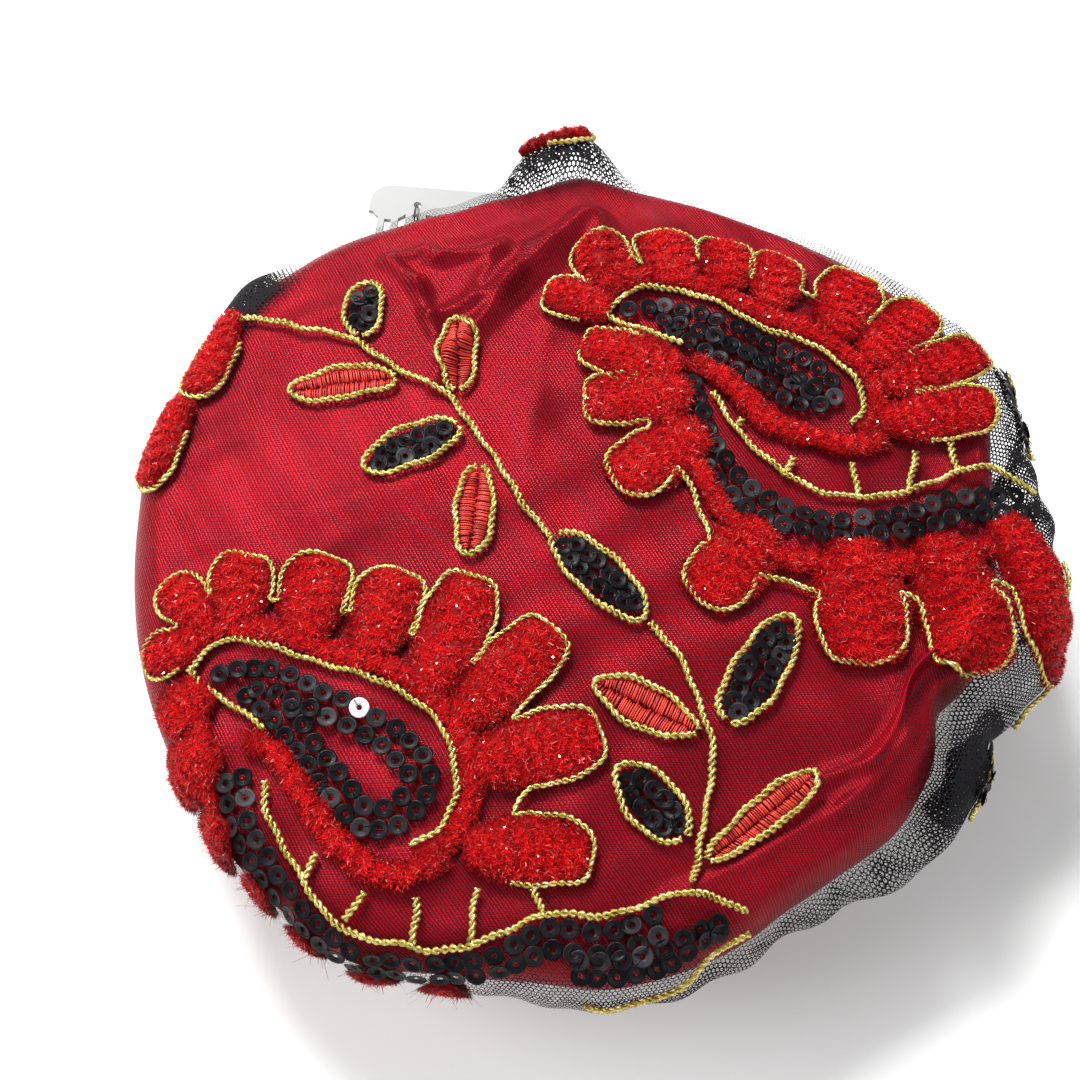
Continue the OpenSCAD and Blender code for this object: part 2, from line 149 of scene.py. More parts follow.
def hexNetGroup():
    # distance to the nearest edge of a honeycomb: two interleaved grids of cells,
    # the nearer centre wins, then the largest of |x| and |x|/2 + |y| sqrt(3)/2
    group, source, sink = newGroup(
        "hexNet",
        [("Cloth", "Vector", None), ("Cell", "Float", 1.25), ("Thread", "Float", 0.17)],
        [("Mask", "Float")],
    )
    nodes, links = group.nodes, group.links
    cells = mathNode(nodes, links, "DIVIDE", 1000.0, source.outputs["Cell"])
    scaled = nodes.new("ShaderNodeVectorMath")
    scaled.operation = "SCALE"
    links.new(source.outputs["Cloth"], scaled.inputs[0])
    links.new(cells, scaled.inputs["Scale"])
    period = (1.0, math.sqrt(3), 1.0)
    half = (0.5, math.sqrt(3) / 2, 0.0)

    def offsetInCell(shift):
        moved = vectorNode(nodes, links, "ADD", scaled.outputs[0], shift)
        rest = nodes.new("ShaderNodeVectorMath")
        rest.operation = "MODULO"
        links.new(moved, rest.inputs[0])
        rest.inputs[1].default_value = period
        away = vectorNode(nodes, links, "SUBTRACT", rest.outputs[0], half)
        return vectorNode(nodes, links, "MULTIPLY", away, (1, 1, 0))

    far = 400.0
    first = offsetInCell((far, far * math.sqrt(3), 0))
    second = offsetInCell((far + 0.5, far * math.sqrt(3) + math.sqrt(3) / 2, 0))
    nearer = mathNode(nodes, links, "LESS_THAN", vectorNode(nodes, links, "LENGTH", first),
                      vectorNode(nodes, links, "LENGTH", second))
    pick = nodes.new("ShaderNodeMix")
    pick.data_type = "VECTOR"
    links.new(nearer, pick.inputs[0])
    links.new(second, pick.inputs[4])
    links.new(first, pick.inputs[5])
    size = vectorNode(nodes, links, "ABSOLUTE", pick.outputs[1])
    slanted = vectorNode(nodes, links, "DOT_PRODUCT", size, (0.5, math.sqrt(3) / 2, 0))
    straight = vectorNode(nodes, links, "DOT_PRODUCT", size, (1, 0, 0))
    out = mathNode(nodes, links, "MAXIMUM", slanted, straight)
    width = mathNode(nodes, links, "DIVIDE", source.outputs["Thread"], source.outputs["Cell"])
    edge = mathNode(nodes, links, "SUBTRACT", 0.5, mathNode(nodes, links, "MULTIPLY", width, 0.5))
    links.new(mathNode(nodes, links, "GREATER_THAN", out, edge), sink.inputs["Mask"])
    return group


def weaveGroup():
    # twill: slanted ribs crossed by finer threads, as a height and a soft colour mask
    group, source, sink = newGroup(
        "weave",
        [("Place", "Vector", None), ("Ribs", "Float", 1600.0), ("Slant", "Float", 0.6)],
        [("Height", "Float"), ("Mask", "Float")],
    )
    nodes, links = group.nodes, group.links
    split = nodes.new("ShaderNodeSeparateXYZ")
    links.new(source.outputs["Place"], split.inputs[0])
    slant = mathNode(nodes, links, "MULTIPLY", split.outputs["Y"], source.outputs["Slant"])
    across = mathNode(nodes, links, "ADD", split.outputs["X"], slant)
    turns = mathNode(nodes, links, "MULTIPLY", source.outputs["Ribs"], 2 * math.pi)
    ribs = mathNode(nodes, links, "SINE", mathNode(nodes, links, "MULTIPLY", across, turns))
    threads = mathNode(nodes, links, "SINE",
                       mathNode(nodes, links, "MULTIPLY", split.outputs["Y"],
                                mathNode(nodes, links, "MULTIPLY", turns, 1.6)))
    mixed = mathNode(nodes, links, "ADD", mathNode(nodes, links, "MULTIPLY", ribs, 0.35),
                     mathNode(nodes, links, "MULTIPLY", threads, 0.15))
    raised = mathNode(nodes, links, "ADD", mixed, 0.5)
    links.new(raised, sink.inputs["Height"])
    links.new(raised, sink.inputs["Mask"])
    return group


hexNet = hexNetGroup()
weave = weaveGroup()


def clothPlace(nodes):
    node = nodes.new("ShaderNodeUVMap")
    node.uv_map = "cloth"
    return node.outputs["UV"]


def objectPlace(nodes):
    return nodes.new("ShaderNodeTexCoord").outputs["Object"]


def attribute(nodes, name):
    node = nodes.new("ShaderNodeAttribute")
    node.attribute_name = name
    return node.outputs["Fac"]


def ramp(nodes, links, value, *stops):
    node = nodes.new("ShaderNodeValToRGB")
    points = node.color_ramp.elements
    while len(points) < len(stops):
        points.new(0.5)
    for point, (place, colour) in zip(points, stops):
        point.position = place
        point.color = colour
    links.new(value, node.inputs[0])
    return node.outputs[0]


def noise(nodes, links, place, scale, detail=2.0, rough=0.5):
    node = nodes.new("ShaderNodeTexNoise")
    node.inputs["Scale"].default_value = scale
    node.inputs["Detail"].default_value = detail
    node.inputs["Roughness"].default_value = rough
    links.new(place, node.inputs["Vector"])
    return node.outputs["Fac"]


def bump(nodes, links, shader, height, distance, strength=1.0):
    node = nodes.new("ShaderNodeBump")
    node.inputs["Distance"].default_value = distance
    node.inputs["Strength"].default_value = strength
    links.new(height, node.inputs["Height"])
    links.new(node.outputs[0], shader.inputs["Normal"])


def satinMaterial(name, dark, light):
    material, nodes, links, shader = newMaterial(
        name, Roughness=0.33, Metallic=0.32, Specular_IOR_Level=0.2, Anisotropic=0.35,
        Specular_Tint=rgb(1.0, 0.25, 0.28))
    place = clothPlace(nodes)
    cloth = placeGroup(nodes, links, weave, Place=place, Ribs=1150.0, Slant=0.55)
    patches = noise(nodes, links, place, 28.0, 3.0)
    mask = blendMasks(nodes, links, cloth.outputs["Mask"], 0.55, patches)
    links.new(ramp(nodes, links, mask, (0.25, rgb(*dark)), (0.8, rgb(*light))),
              shader.inputs["Base Color"])
    bump(nodes, links, shader, cloth.outputs["Height"], 0.00016, 0.7)
    return material


def netMaterial():
    material, nodes, links, shader = newMaterial(
        "net", Base_Color=rgb(0.012, 0.011, 0.013), Roughness=0.7, Specular_IOR_Level=0.05)
    # threads crowd together where the net is gathered
    crowd = attribute(nodes, "gather")
    thread = mathNode(nodes, links, "ADD", 0.105, mathNode(nodes, links, "MULTIPLY", crowd, 0.4))
    single = placeGroup(nodes, links, hexNet, Cloth=clothPlace(nodes), Cell=1.25, Thread=thread)
    turned = nodes.new("ShaderNodeVectorRotate")
    turned.rotation_type = "Z_AXIS"
    turned.inputs["Angle"].default_value = 0.5
    links.new(clothPlace(nodes), turned.inputs["Vector"])
    second = placeGroup(nodes, links, hexNet, Cloth=turned.outputs[0], Cell=1.1, Thread=thread)
    doubled = mathNode(nodes, links, "MULTIPLY", second.outputs["Mask"],
                       mathNode(nodes, links, "GREATER_THAN", crowd, 0.95))
    links.new(mathNode(nodes, links, "MAXIMUM", single.outputs["Mask"], doubled),
              shader.inputs["Alpha"])
    return material


def goldMaterial():
    material, nodes, links, shader = newMaterial("goldCord", Roughness=0.3)
    place = objectPlace(nodes)
    fibres = noise(nodes, links, place, 2600.0, 2.0, 0.7)
    patches = noise(nodes, links, place, 420.0, 2.0)
    mask = blendMasks(nodes, links, fibres, 0.6, patches)
    links.new(ramp(nodes, links, mask, (0.36, rgb(0.15, 0.105, 0.012)), (0.5, rgb(0.52, 0.4, 0.075)),
                   (0.66, rgb(1.0, 0.88, 0.42))), shader.inputs["Base Color"])
    links.new(ramp(nodes, links, fibres, (0.4, rgb(0.35, 0.35, 0.35)), (0.62, rgb(0.85, 0.85, 0.85))),
              shader.inputs["Metallic"])
    bump(nodes, links, shader, fibres, 0.0001, 0.8)
    return material


def chenilleMaterial():
    # shade is painted shade, darker at the roots of the pile, on the pad between the fibres and in the
    # hollows between rows, over a random tone for each fibre; glint marks the tinsel
    material, nodes, links, shader = newMaterial("chenille", Roughness=0.4, Specular_IOR_Level=0.35,
                                                 Specular_Tint=rgb(1.0, 0.2, 0.15))
    shade = attribute(nodes, "shade")
    glint = attribute(nodes, "glint")
    speck = noise(nodes, links, objectPlace(nodes), 1900.0, 2.0, 0.7)
    mask = blendMasks(nodes, links, shade, 0.75, speck)
    red = ramp(nodes, links, mask, (0.12, rgb(0.05, 0.0, 0.001)), (0.5, rgb(0.4, 0.001, 0.004)),
               (0.88, rgb(0.9, 0.008, 0.012)))
    mix = nodes.new("ShaderNodeMix")
    mix.data_type = "RGBA"
    links.new(glint, mix.inputs["Factor"])
    links.new(red, mix.inputs[6])
    mix.inputs[7].default_value = rgb(1.0, 0.36, 0.32)
    links.new(mix.outputs[2], shader.inputs["Base Color"])
    links.new(mathNode(nodes, links, "MULTIPLY", glint, 0.95), shader.inputs["Metallic"])
    links.new(mathNode(nodes, links, "SUBTRACT", 0.5, mathNode(nodes, links, "MULTIPLY", glint, 0.4)),
              shader.inputs["Roughness"])
    return material


def sequinMaterial():
    material, nodes, links, shader = newMaterial(
        "sequin", Specular_IOR_Level=0.09)
    shade = attribute(nodes, "shade")
    # the last stop is a painted reflection: the odd sequin that catches the light is painted pale grey
    links.new(ramp(nodes, links, shade, (0.0, rgb(0.003, 0.003, 0.004)), (0.6, rgb(0.008, 0.007, 0.009)),
                   (0.9, rgb(0.026, 0.024, 0.027)), (0.96, rgb(0.75, 0.76, 0.8))),
              shader.inputs["Base Color"])
    scratch = noise(nodes, links, objectPlace(nodes), 1400.0, 3.0, 0.7)
    links.new(ramp(nodes, links, scratch, (0.3, rgb(0.26, 0.26, 0.26)), (0.8, rgb(0.55, 0.55, 0.55))),
              shader.inputs["Roughness"])
    bump(nodes, links, shader, scratch, 0.00005, 0.35)
    return material


def threadMaterial(name, dark, light, sheen=0.4):
    material, nodes, links, shader = newMaterial(name, Roughness=0.42, Sheen_Weight=sheen)
    shade = attribute(nodes, "shade")
    strands = noise(nodes, links, objectPlace(nodes), 3200.0, 1.0)
    mask = blendMasks(nodes, links, shade, 0.6, strands)
    links.new(ramp(nodes, links, mask, (0.2, rgb(*dark)), (0.8, rgb(*light))),
              shader.inputs["Base Color"])
    bump(nodes, links, shader, strands, 0.00006, 0.6)
    return material


def fabricMaterial(name, dark, light, ribs, rough=0.8):
    material, nodes, links, shader = newMaterial(name, Roughness=rough, Sheen_Weight=0.25)
    place = clothPlace(nodes)
    cloth = placeGroup(nodes, links, weave, Place=place, Ribs=ribs, Slant=0.0)
    patches = noise(nodes, links, place, 60.0, 3.0)
    mask = blendMasks(nodes, links, cloth.outputs["Mask"], 0.7, patches)
    links.new(ramp(nodes, links, mask, (0.25, rgb(*dark)), (0.75, rgb(*light))),
              shader.inputs["Base Color"])
    bump(nodes, links, shader, cloth.outputs["Height"], 0.0003, 0.6)
    return material


def boardMaterial(name, dark, light):
    material, nodes, links, shader = newMaterial(name, Roughness=0.85)
    fibres = noise(nodes, links, objectPlace(nodes), 900.0, 4.0, 0.7)
    links.new(ramp(nodes, links, fibres, (0.3, rgb(*dark)), (0.7, rgb(*light))),
              shader.inputs["Base Color"])
    bump(nodes, links, shader, fibres, 0.0002, 0.5)
    return material


def combMaterial():
    material, nodes, links, shader = newMaterial(
        "combPlastic", Base_Color=rgb(0.42, 0.43, 0.42), Roughness=0.48, IOR=1.49,
        Transmission_Weight=0.12, Specular_IOR_Level=0.1)
    clouds = noise(nodes, links, objectPlace(nodes), 300.0, 2.0)
    bump(nodes, links, shader, clouds, 0.0002, 0.1)
    return material


satinRed = satinMaterial("satin", (0.085, 0.001, 0.004), (0.46, 0.007, 0.02))
netBlack = netMaterial()
gold = goldMaterial()
chenille = chenilleMaterial()
sequinBlack = sequinMaterial()
stitchRed = threadMaterial("stitchThread", (0.28, 0.006, 0.004), (0.82, 0.05, 0.025), 0.02)
sewingBlack = threadMaterial("sewingThread", (0.006, 0.006, 0.007), (0.03, 0.03, 0.03))
bindingBlack = fabricMaterial("bindingTape", (0.006, 0.006, 0.007), (0.03, 0.028, 0.032), 1500.0)
liningRed = fabricMaterial("lining", (0.05, 0.004, 0.012), (0.13, 0.012, 0.03), 2500.0, 0.5)
ribbonRed = fabricMaterial("sweatbandRibbon", (0.09, 0.008, 0.02), (0.22, 0.02, 0.04), 900.0)
waddingWhite = boardMaterial("wadding", (0.72, 0.7, 0.66), (0.93, 0.92, 0.9))
boardTan = boardMaterial("crownBoard", (0.42, 0.35, 0.25), (0.66, 0.58, 0.45))
buckram = boardMaterial("buckram", (0.62, 0.58, 0.5), (0.85, 0.81, 0.73))
clearPlastic = combMaterial()
print("materials made")

# ---- meshes


def makePiece(name, shapes, material, nodes, uv=None, extra=None):
    # shapes: list of (points in mm, faces), every face array with rows of one length; the piece stands for
    # the CAD nodes, which it hides, and takes the material it is given
    points = np.concatenate([p for p, f in shapes])
    starts = np.cumsum([0] + [len(p) for p, f in shapes])
    corners = np.concatenate([(f + s).ravel() for (p, f), s in zip(shapes, starts)])
    sizes = np.concatenate([np.full(len(f), f.shape[1]) for p, f in shapes])
    mesh = bpy.data.meshes.new(name)
    mesh.vertices.add(len(points))
    mesh.vertices.foreach_set("co", (points * mm).astype(np.float32).ravel())
    mesh.loops.add(len(corners))
    mesh.loops.foreach_set("vertex_index", corners.astype(np.int32))
    mesh.polygons.add(len(sizes))
    mesh.polygons.foreach_set("loop_start", (np.cumsum(sizes) - sizes).astype(np.int32))
    mesh.update(calc_edges=True)
    mesh.polygons.foreach_set("use_smooth", np.ones(len(sizes), bool))
    if uv is not None:
        layer = mesh.uv_layers.new(name="cloth")
        layer.data.foreach_set("uv", (uv[corners] * mm).astype(np.float32).ravel())
    for label, values in (extra or {}).items():
        layer = mesh.attributes.new(label, "FLOAT", "POINT")
        layer.data.foreach_set("value", values.astype(np.float32))
    mesh.materials.append(material)
    mesh.update()
    piece = bpy.data.objects.new(name, mesh)
    bpy.context.collection.objects.link(piece)
    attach(piece, "hat")
    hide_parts(*nodes)
    return piece


def gridFaces(rows, columns, wrap=False):
    # quads of a grid whose point (i, j) has number i * columns + j
    i = np.arange(rows - 1)[:, None]
    j = np.arange(columns if wrap else columns - 1)[None, :]
    k = (j + 1) % columns
    quads = [i * columns + j, (i + 1) * columns + j, (i + 1) * columns + k, i * columns + k]
    return np.stack([np.broadcast_to(q, (rows - 1, j.shape[1])) for q in quads], -1).reshape(-1, 4)


def turns(count):
    # evenly spaced angles once round
    return np.arange(count) * 2 * math.pi / count


def fanFaces(hub, first, count):
    # triangles from a hub point to each side of a closed ring of points
    j = np.arange(count)
    return np.stack([np.full(count, hub), first + j, first + (j + 1) % count], -1)


def onSame(faces, points):
    # a further shape whose faces use the points of the shape before it
    return np.zeros((0, 3)), faces - len(points)


def unit(vectors):
    return vectors / np.linalg.norm(vectors, axis=-1, keepdims=True)


def smoothStep(x, low, high):
    # 0 below low, 1 above high, 3t^2 - 2t^3 between
    t = np.clip((x - low) / (high - low), 0, 1)
    return t * t * (3 - 2 * t)


def flatBell(turn, middle, half):
    # 1 near the middle, falling to 1/e at half away: exp(-(x / half)^4)
    return np.exp(-((turn - middle) / half) ** 4)


def roundTable(pairs, soft):
    # values given at angles in degrees, blurred round the circle by soft degrees
    angles, values = zip(*pairs)
    fine = np.interp(np.arange(720) / 2, angles, values, period=360)
    waves = np.fft.rfftfreq(720, 0.5)
    blurred = np.fft.irfft(np.fft.rfft(fine) * np.exp(-2 * (math.pi * waves * soft) ** 2), 720)
    return lambda angle: np.interp(np.degrees(angle), np.arange(720) / 2, blurred, period=360)


# ---- the hat's skins: satin, and net over it


def nodeBox(node):
    return [np.array(c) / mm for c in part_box(node)]


low, high = nodeBox("net_overlay")
cap = {
    "centre": (low + high)[:2] / 2,
    "edge": (high - low)[0] / 2,       # outline radius of the net as cut
    "top": high[2],
    "bottom": low[2],
    "domeR": 900.0,
    "rimHigh": 14.0,                    # half height of the rounded rim
    "rimLeast": 5.0,                    # least width of the rounded rim
    "rimUsual": 7.0,                    # its width where the outline radius is rimUsualAt
    "rimUsualAt": 104.0,
    "hole": 79.8,                       # where the net ends against the band
    "underNet": 1.0,                    # how far the satin lies below the net
    "netTurnIn": 22.0,                  # net under the rim, from the rim's foot to the band
    # how far the net's edge stands in from that outline, by angle from +X
    "netEdge": [(0, -2), (12, -4), (22, 0), (32, -2), (42, -7), (52, -11), (62, -15), (75, -15),
                (84, -13), (91, -7), (98, -13), (109, -15), (118, -13), (127, -10), (136, -6),
                (142, -1), (147, -3), (152, -5), (165, -4), (178, -6), (190, -6), (205, -5), (220, -4),
                (232, -2), (242, 0), (252, -5), (262, -6), (272, -4), (284, -7), (296, -12), (304, -10),
                (314, -5), (324, -6), (331, -11), (338, -4), (348, 0)],
    # how far the satin's edge stands in from the net's, by angle
    "satinInset": [(0, 16), (14, 8), (28, 5), (45, 4), (60, 2), (86, 1.5), (96, 3.4), (105, 2.2),
                   (116, 2.2), (130, 0.5), (137, 2), (142, 8), (147, 2), (155, 0.5), (180, 0.4),
                   (225, 0.6), (250, 2), (265, 5), (280, 5), (296, 4), (310, 10), (325, 13), (340, 15),
                   (350, 17)],
}
netEdge = roundTable(cap["netEdge"], 1.8)
satinInset = roundTable(cap["satinInset"], 5.0)
netRimR = cap["edge"] - cap["rimHigh"]
rimZ = cap["bottom"] + cap["rimHigh"]
rimTilt = math.asin(netRimR / (cap["domeR"] - cap["rimHigh"]))
rimStart = cap["domeR"] * rimTilt
rimEnd = rimStart + cap["rimHigh"] * (math.pi - rimTilt)
netEnd = rimEnd + cap["netTurnIn"]

# folds in the cloth: (u, v) to (u, v), height and half width
folds = [
    ((0, 90), (-18, 66), 4.6, 4.0), ((-18, 66), (-33, 44), 3.6, 3.2), ((-33, 44), (-38, 36), 1.5, 3.0),
    ((-53, 77), (-43, 65), 3.4, 2.4), ((-43, 65), (-38, 50), 2.8, 2.6), ((-38, 56), (-22, 63), 2.2, 2.4),
    ((-49, 80), (-43, 80), 1.4, 3.2), ((-43, 80), (-38, 75), 2.0, 3.0), ((-38, 75), (-22, 77), 2.6, 3.2),
    ((-22, 80), (-29, 60), 1.6, 2.6), ((4, 90), (4, 70), 2.6, 3.4), ((4, 70), (11, 58), 1.5, 3.4),
    ((-10, 52), (-14, 20), 1.2, 6.0), ((-92, -6), (-42, 8), 1.5, 7.0), ((-98, 20), (-62, 27), 1.0, 7.0),
    ((-76, 56), (-60, 60), 0.9, 5.0), ((48, -68), (68, -64), 2.2, 3.6), ((68, -64), (84, -44), 3.2, 4.0),
    ((84, -44), (95, -26), 2.8, 4.0), ((20, -96), (42, -88), 1.7, 4.4), ((42, -88), (62, -78), 1.5, 5.0),
    ((62, -78), (78, -62), 2.4, 4.4), ((30, 6), (38, -40), 0.9, 8.0), ((-10, -30), (-2, -70), 0.9, 9.0),
    ((58, -20), (78, -12), 0.9, 7.0), ((-60, -8), (-86, -22), 0.8, 6.0),
]


def foldRise(u, v):
    # each fold: height times a pinched bell of the distance to its line, faded at its ends
    rise = np.zeros_like(u)
    for a, b, height, width in folds:
        du, dv = b[0] - a[0], b[1] - a[1]
        length = math.hypot(du, dv)
        along = ((u - a[0]) * du + (v - a[1]) * dv) / length
        off = ((v - a[1]) * du - (u - a[0]) * dv) / length
        past = np.maximum(0, np.abs(along - length / 2) - length / 2)
        pinch = np.sqrt((off / width) ** 2 + 0.12) - 0.34
        rise = rise + height * np.exp(-1.3 * pinch - 0.4 * (off / width) ** 2
                                      - (past / (1.3 * width)) ** 2)
    ripple = 0.4 * np.sin(0.31 * u + 0.17 * v + 1.4 * np.sin(0.05 * v))
    ripple = ripple + 0.3 * np.sin(0.11 * u - 0.29 * v + 1.2 * np.sin(0.07 * u))
    return rise + ripple


def satinEdge(way):
    # outline radius of the satin
    return cap["edge"] + netEdge(way) - satinInset(way)


def rimWide(edge):
    # how far the rounded rim reaches out from its own centre line, more where the outline is full
    return np.maximum(cap["rimLeast"], cap["rimUsual"] + 0.5 * (edge - cap["rimUsualAt"]))


def roundCentre(way, r, z):
    # points at angle and radius about the net's centre
    return np.stack([cap["centre"][0] + r * np.cos(way), cap["centre"][1] + r * np.sin(way), z], -1)


def bandDistance(way):
    # how far the band's circle, round the origin, is from the net's centre
    toward = cap["centre"][0] * np.cos(way) + cap["centre"][1] * np.sin(way)
    return -toward + np.sqrt(toward ** 2 + cap["hole"] ** 2 - (cap["centre"] ** 2).sum())


def skin(u, v, layer="net", folded=True):
    # dome of radius domeR out to the rim, then a half ellipse round the rim and flat in
    # underneath: r = c + w sin(a), z = rimZ + rimHigh cos(a), with c and w set by the outline
    s = np.hypot(u, v)
    way = np.arctan2(v, u)
    edge = cap["edge"] + netEdge(way)
    if layer == "satin":
        edge = edge - satinInset(way)
    wide = rimWide(edge)
    centreR = edge - wide
    if layer == "net":
        # in front on the right the net hugs the satin's shoulder, then flares out below it
        snug = smoothStep(np.degrees(way), -84, -74) * (1 - smoothStep(np.degrees(way), -47, -39))
        shoulder = edge - satinInset(way) * snug
        shoulderWide = rimWide(shoulder)
    a = np.clip(rimTilt + (s - rimStart) / cap["rimHigh"], rimTilt, math.pi)
    domeOut = cap["domeR"] * np.sin(np.minimum(s, rimStart) / cap["domeR"])
    pull = cap["domeR"] * math.sin(rimTilt) - (centreR + wide * math.sin(rimTilt))
    rimR = centreR + wide * np.sin(a)
    if layer == "net":
        hug = shoulder + shoulderWide * (np.sin(a) - 1) + 0.8 * snug
        rimR = hug + (rimR - hug) * smoothStep(a, 1.15, 1.8)
        pull = cap["domeR"] * math.sin(rimTilt) - (hug - shoulderWide * (np.sin(a) - math.sin(rimTilt)))
    inward = np.maximum(0, s - rimEnd) / (netEnd - rimEnd)
    r = np.where(s < rimStart, domeOut - pull * smoothStep(s, 78, rimStart),
                 rimR - (centreR - bandDistance(way)) * inward)
    z = np.where(s < rimStart,
                 cap["top"] - cap["domeR"] * (1 - np.cos(np.minimum(s, rimStart) / cap["domeR"])),
                 rimZ + cap["rimHigh"] * np.cos(a))
    z = z - (cap["underNet"] if layer == "satin" else 0) * np.cos(a)
    fade = 1 - smoothStep(s, rimStart - 4, rimStart + 14)
    if folded:
        z = z + foldRise(u, v) * fade
    gather = smoothStep(s, rimStart - 6, rimStart + 18)
    if layer == "net":
        pleats = np.sin(46 * way + 3 * np.sin(3 * way)) + 0.6 * np.sin(29 * way + 2 * np.sin(5 * way))
        loose = 0.35 + 0.65 * smoothStep(np.cos(way + 0.55), -0.2, 0.9)
        r = r + 0.55 * gather * pleats * loose
        z = z + 0.45 * gather * np.sin(37 * way + 2.5 * np.sin(4 * way))
        # the fold of net that stands up at the back
        tall = flatBell(np.degrees(way), 93, 8.0) * smoothStep(s, 92, 107)
        tall = tall * (1 - smoothStep(s, 120, 142))
        z = z + 7.0 * tall
        r = r + 6.0 * tall
    else:
        z = z + 0.25 * gather * np.sin(23 * way + 2 * np.sin(3 * way))
    k = np.where(s > 0, 1 / np.maximum(s, 1e-9), 0)
    return np.stack([cap["centre"][0] + r * u * k, cap["centre"][1] + r * v * k, z], -1)


def onNet(u, v, h=0.0, step=0.4):
    # point h above the net, along the net's own normal
    p = skin(u, v)
    across = skin(u + step, v) - skin(u - step, v)
    along = skin(u, v + step) - skin(u, v - step)
    n = unit(np.cross(across, along))
    return p + n * np.asarray(h)[..., None], n


def sheetGrid(distances, segments):
    # polar sheet: one centre point, then rings at the given distances over the cloth
    way = turns(segments)
    u = np.concatenate([[0.0], (distances[:, None] * np.cos(way)).ravel()])
    v = np.concatenate([[0.0], (distances[:, None] * np.sin(way)).ravel()])
    rings = gridFaces(len(distances), segments, wrap=True) + 1
    return u, v, fanFaces(0, 1, segments), rings


def gathered(u, v):
    # 0 on the taut top, up to 1 where the net is loose past the satin's edge and at the back
    s = np.hypot(u, v)
    way = np.arctan2(v, u)
    turn = np.degrees(way)
    reach = np.hypot(*(skin(u, v)[:, :2] - cap["centre"]).T)
    loose = smoothStep(reach - satinEdge(way), 0.6, 1.6) * smoothStep(satinInset(way), 1.5, 5)
    back = flatBell(turn, 93, 10) * smoothStep(s, 98, 104) * (1 - smoothStep(s, 122, 138))
    bunch = flatBell(turn, -33, 8) * smoothStep(s, 106, 112)
    side = flatBell(turn, 8, 22) * smoothStep(s, 106, 112)
    pocket = flatBell(turn, 143, 6) * smoothStep(s, 101, 106)
    folds = np.sin(0.27 * turn + 2 * np.sin(0.11 * turn) + 0.09 * s) ** 12
    pleats = 0.8 + 0.2 * np.sin(1.9 * turn + 2 * np.sin(0.2 * s))
    under = smoothStep(s, rimEnd - 8, rimEnd)
    dense = loose * (0.34 + 0.5 * folds) + 1.15 * back * pleats + 0.9 * bunch + 0.5 * side + 1.1 * pocket
    return np.clip(dense * (1 - 0.6 * under) + 0.1 * under, 0, 1.6)


def makeSheet(name, layer, distances, segments, material, nodes):
    u, v, fan, rings = sheetGrid(distances, segments)
    points = skin(u, v, layer)
    extra = {"gather": gathered(u, v)} if layer == "net" else None
    shapes = [(points, fan), onSame(rings, points)]
    return makePiece(name, shapes, material, nodes, uv=np.stack([u, v], -1), extra=extra)


print("cap shape ready")

satinDistances = np.concatenate([np.linspace(1.2, rimStart, 84),
                                 np.linspace(rimStart + 1.2, rimEnd - 0.6, 32)])
satinCrown = makeSheet("satinCrown", "satin", satinDistances, 420, satinRed, ["satin_crown"])

netDistances = np.concatenate([np.linspace(1.5, rimStart, 80), np.linspace(rimStart + 1.2, rimEnd, 32),
                               np.linspace(rimEnd + 1.3, netEnd, 18)])
netOverlay = makeSheet("netOverlay", "net", netDistances, 480, netBlack, ["net_overlay"])
print("sheets laid")

# ---- paths over the cloth


def resample(points, step):
    # the same line with its points evenly spaced, close to step apart
    gaps = np.hypot(*np.diff(points, axis=0).T)
    run = np.concatenate([[0], np.cumsum(gaps)])
    at = np.linspace(0, run[-1], max(2, int(round(run[-1] / step)) + 1))
    return np.stack([np.interp(at, run, points[:, 0]), np.interp(at, run, points[:, 1])], -1)


def smoothPath(points, step, wobble=0.0):
    # Catmull-Rom curve: each span is a cubic through its two points, with the slope at a
    # point taken from its neighbours
    p = np.array(points, float)
    p = np.concatenate([[2 * p[0] - p[1]], p, [2 * p[-1] - p[-2]]])
    t = np.linspace(0, 1, 12, endpoint=False)[None, :, None]
    a, b, c, d = (p[i:len(p) - 3 + i, None, :] for i in range(4))
    curve = (2 * b + (c - a) * t + (2 * a - 5 * b + 4 * c - d) * t ** 2
             + (3 * b - a - 3 * c + d) * t ** 3) / 2
    curve = resample(np.concatenate([curve.reshape(-1, 2), p[-2:-1]]), step)
    if wobble:
        run = np.arange(len(curve)) * step + dice.uniform(0, 50)
        curve = curve + leftOf(curve) * (wobble * (np.sin(run / 2.3) * np.sin(run / 5.1)))[:, None]
    return curve


def leftOf(path):
    # unit vectors to the left of a path, at each of its points
    d = np.gradient(path, axis=0)
    return np.stack([-d[:, 1], d[:, 0]], -1) / np.maximum(np.hypot(d[:, 0], d[:, 1]), 1e-9)[:, None]


def offsetPath(path, distance):
    # the path moved sideways: point + distance times its left-hand unit vector
    return path + leftOf(path) * distance


def rootToTip(leaf):
    # root, width, length, and the unit vectors along and to the left
    root, tip, width = np.array(leaf[0], float), np.array(leaf[1], float), leaf[2]
    long = np.hypot(*(tip - root))
    d = (tip - root) / long
    return root, width, long, d, np.array([-d[1], d[0]])


def petalPoint(petal, f, extra=0.0):
    # round-tipped finger: along = L (1 - cos f) / 2, and across = W/2 sign(s) |s|^0.6 with
    # s = sin f, a third narrower at its root
    root, width, long, d, n = rootToTip(petal)
    along = long * (1 - np.cos(f)) / 2 - extra * np.cos(f)
    turn = np.sin(f)
    across = np.sign(turn) * np.abs(turn) ** 0.6 * (width / 2 * (0.68 + 0.32 * np.sin(f / 2) ** 2) + extra)
    return root + along[..., None] * d + across[..., None] * n


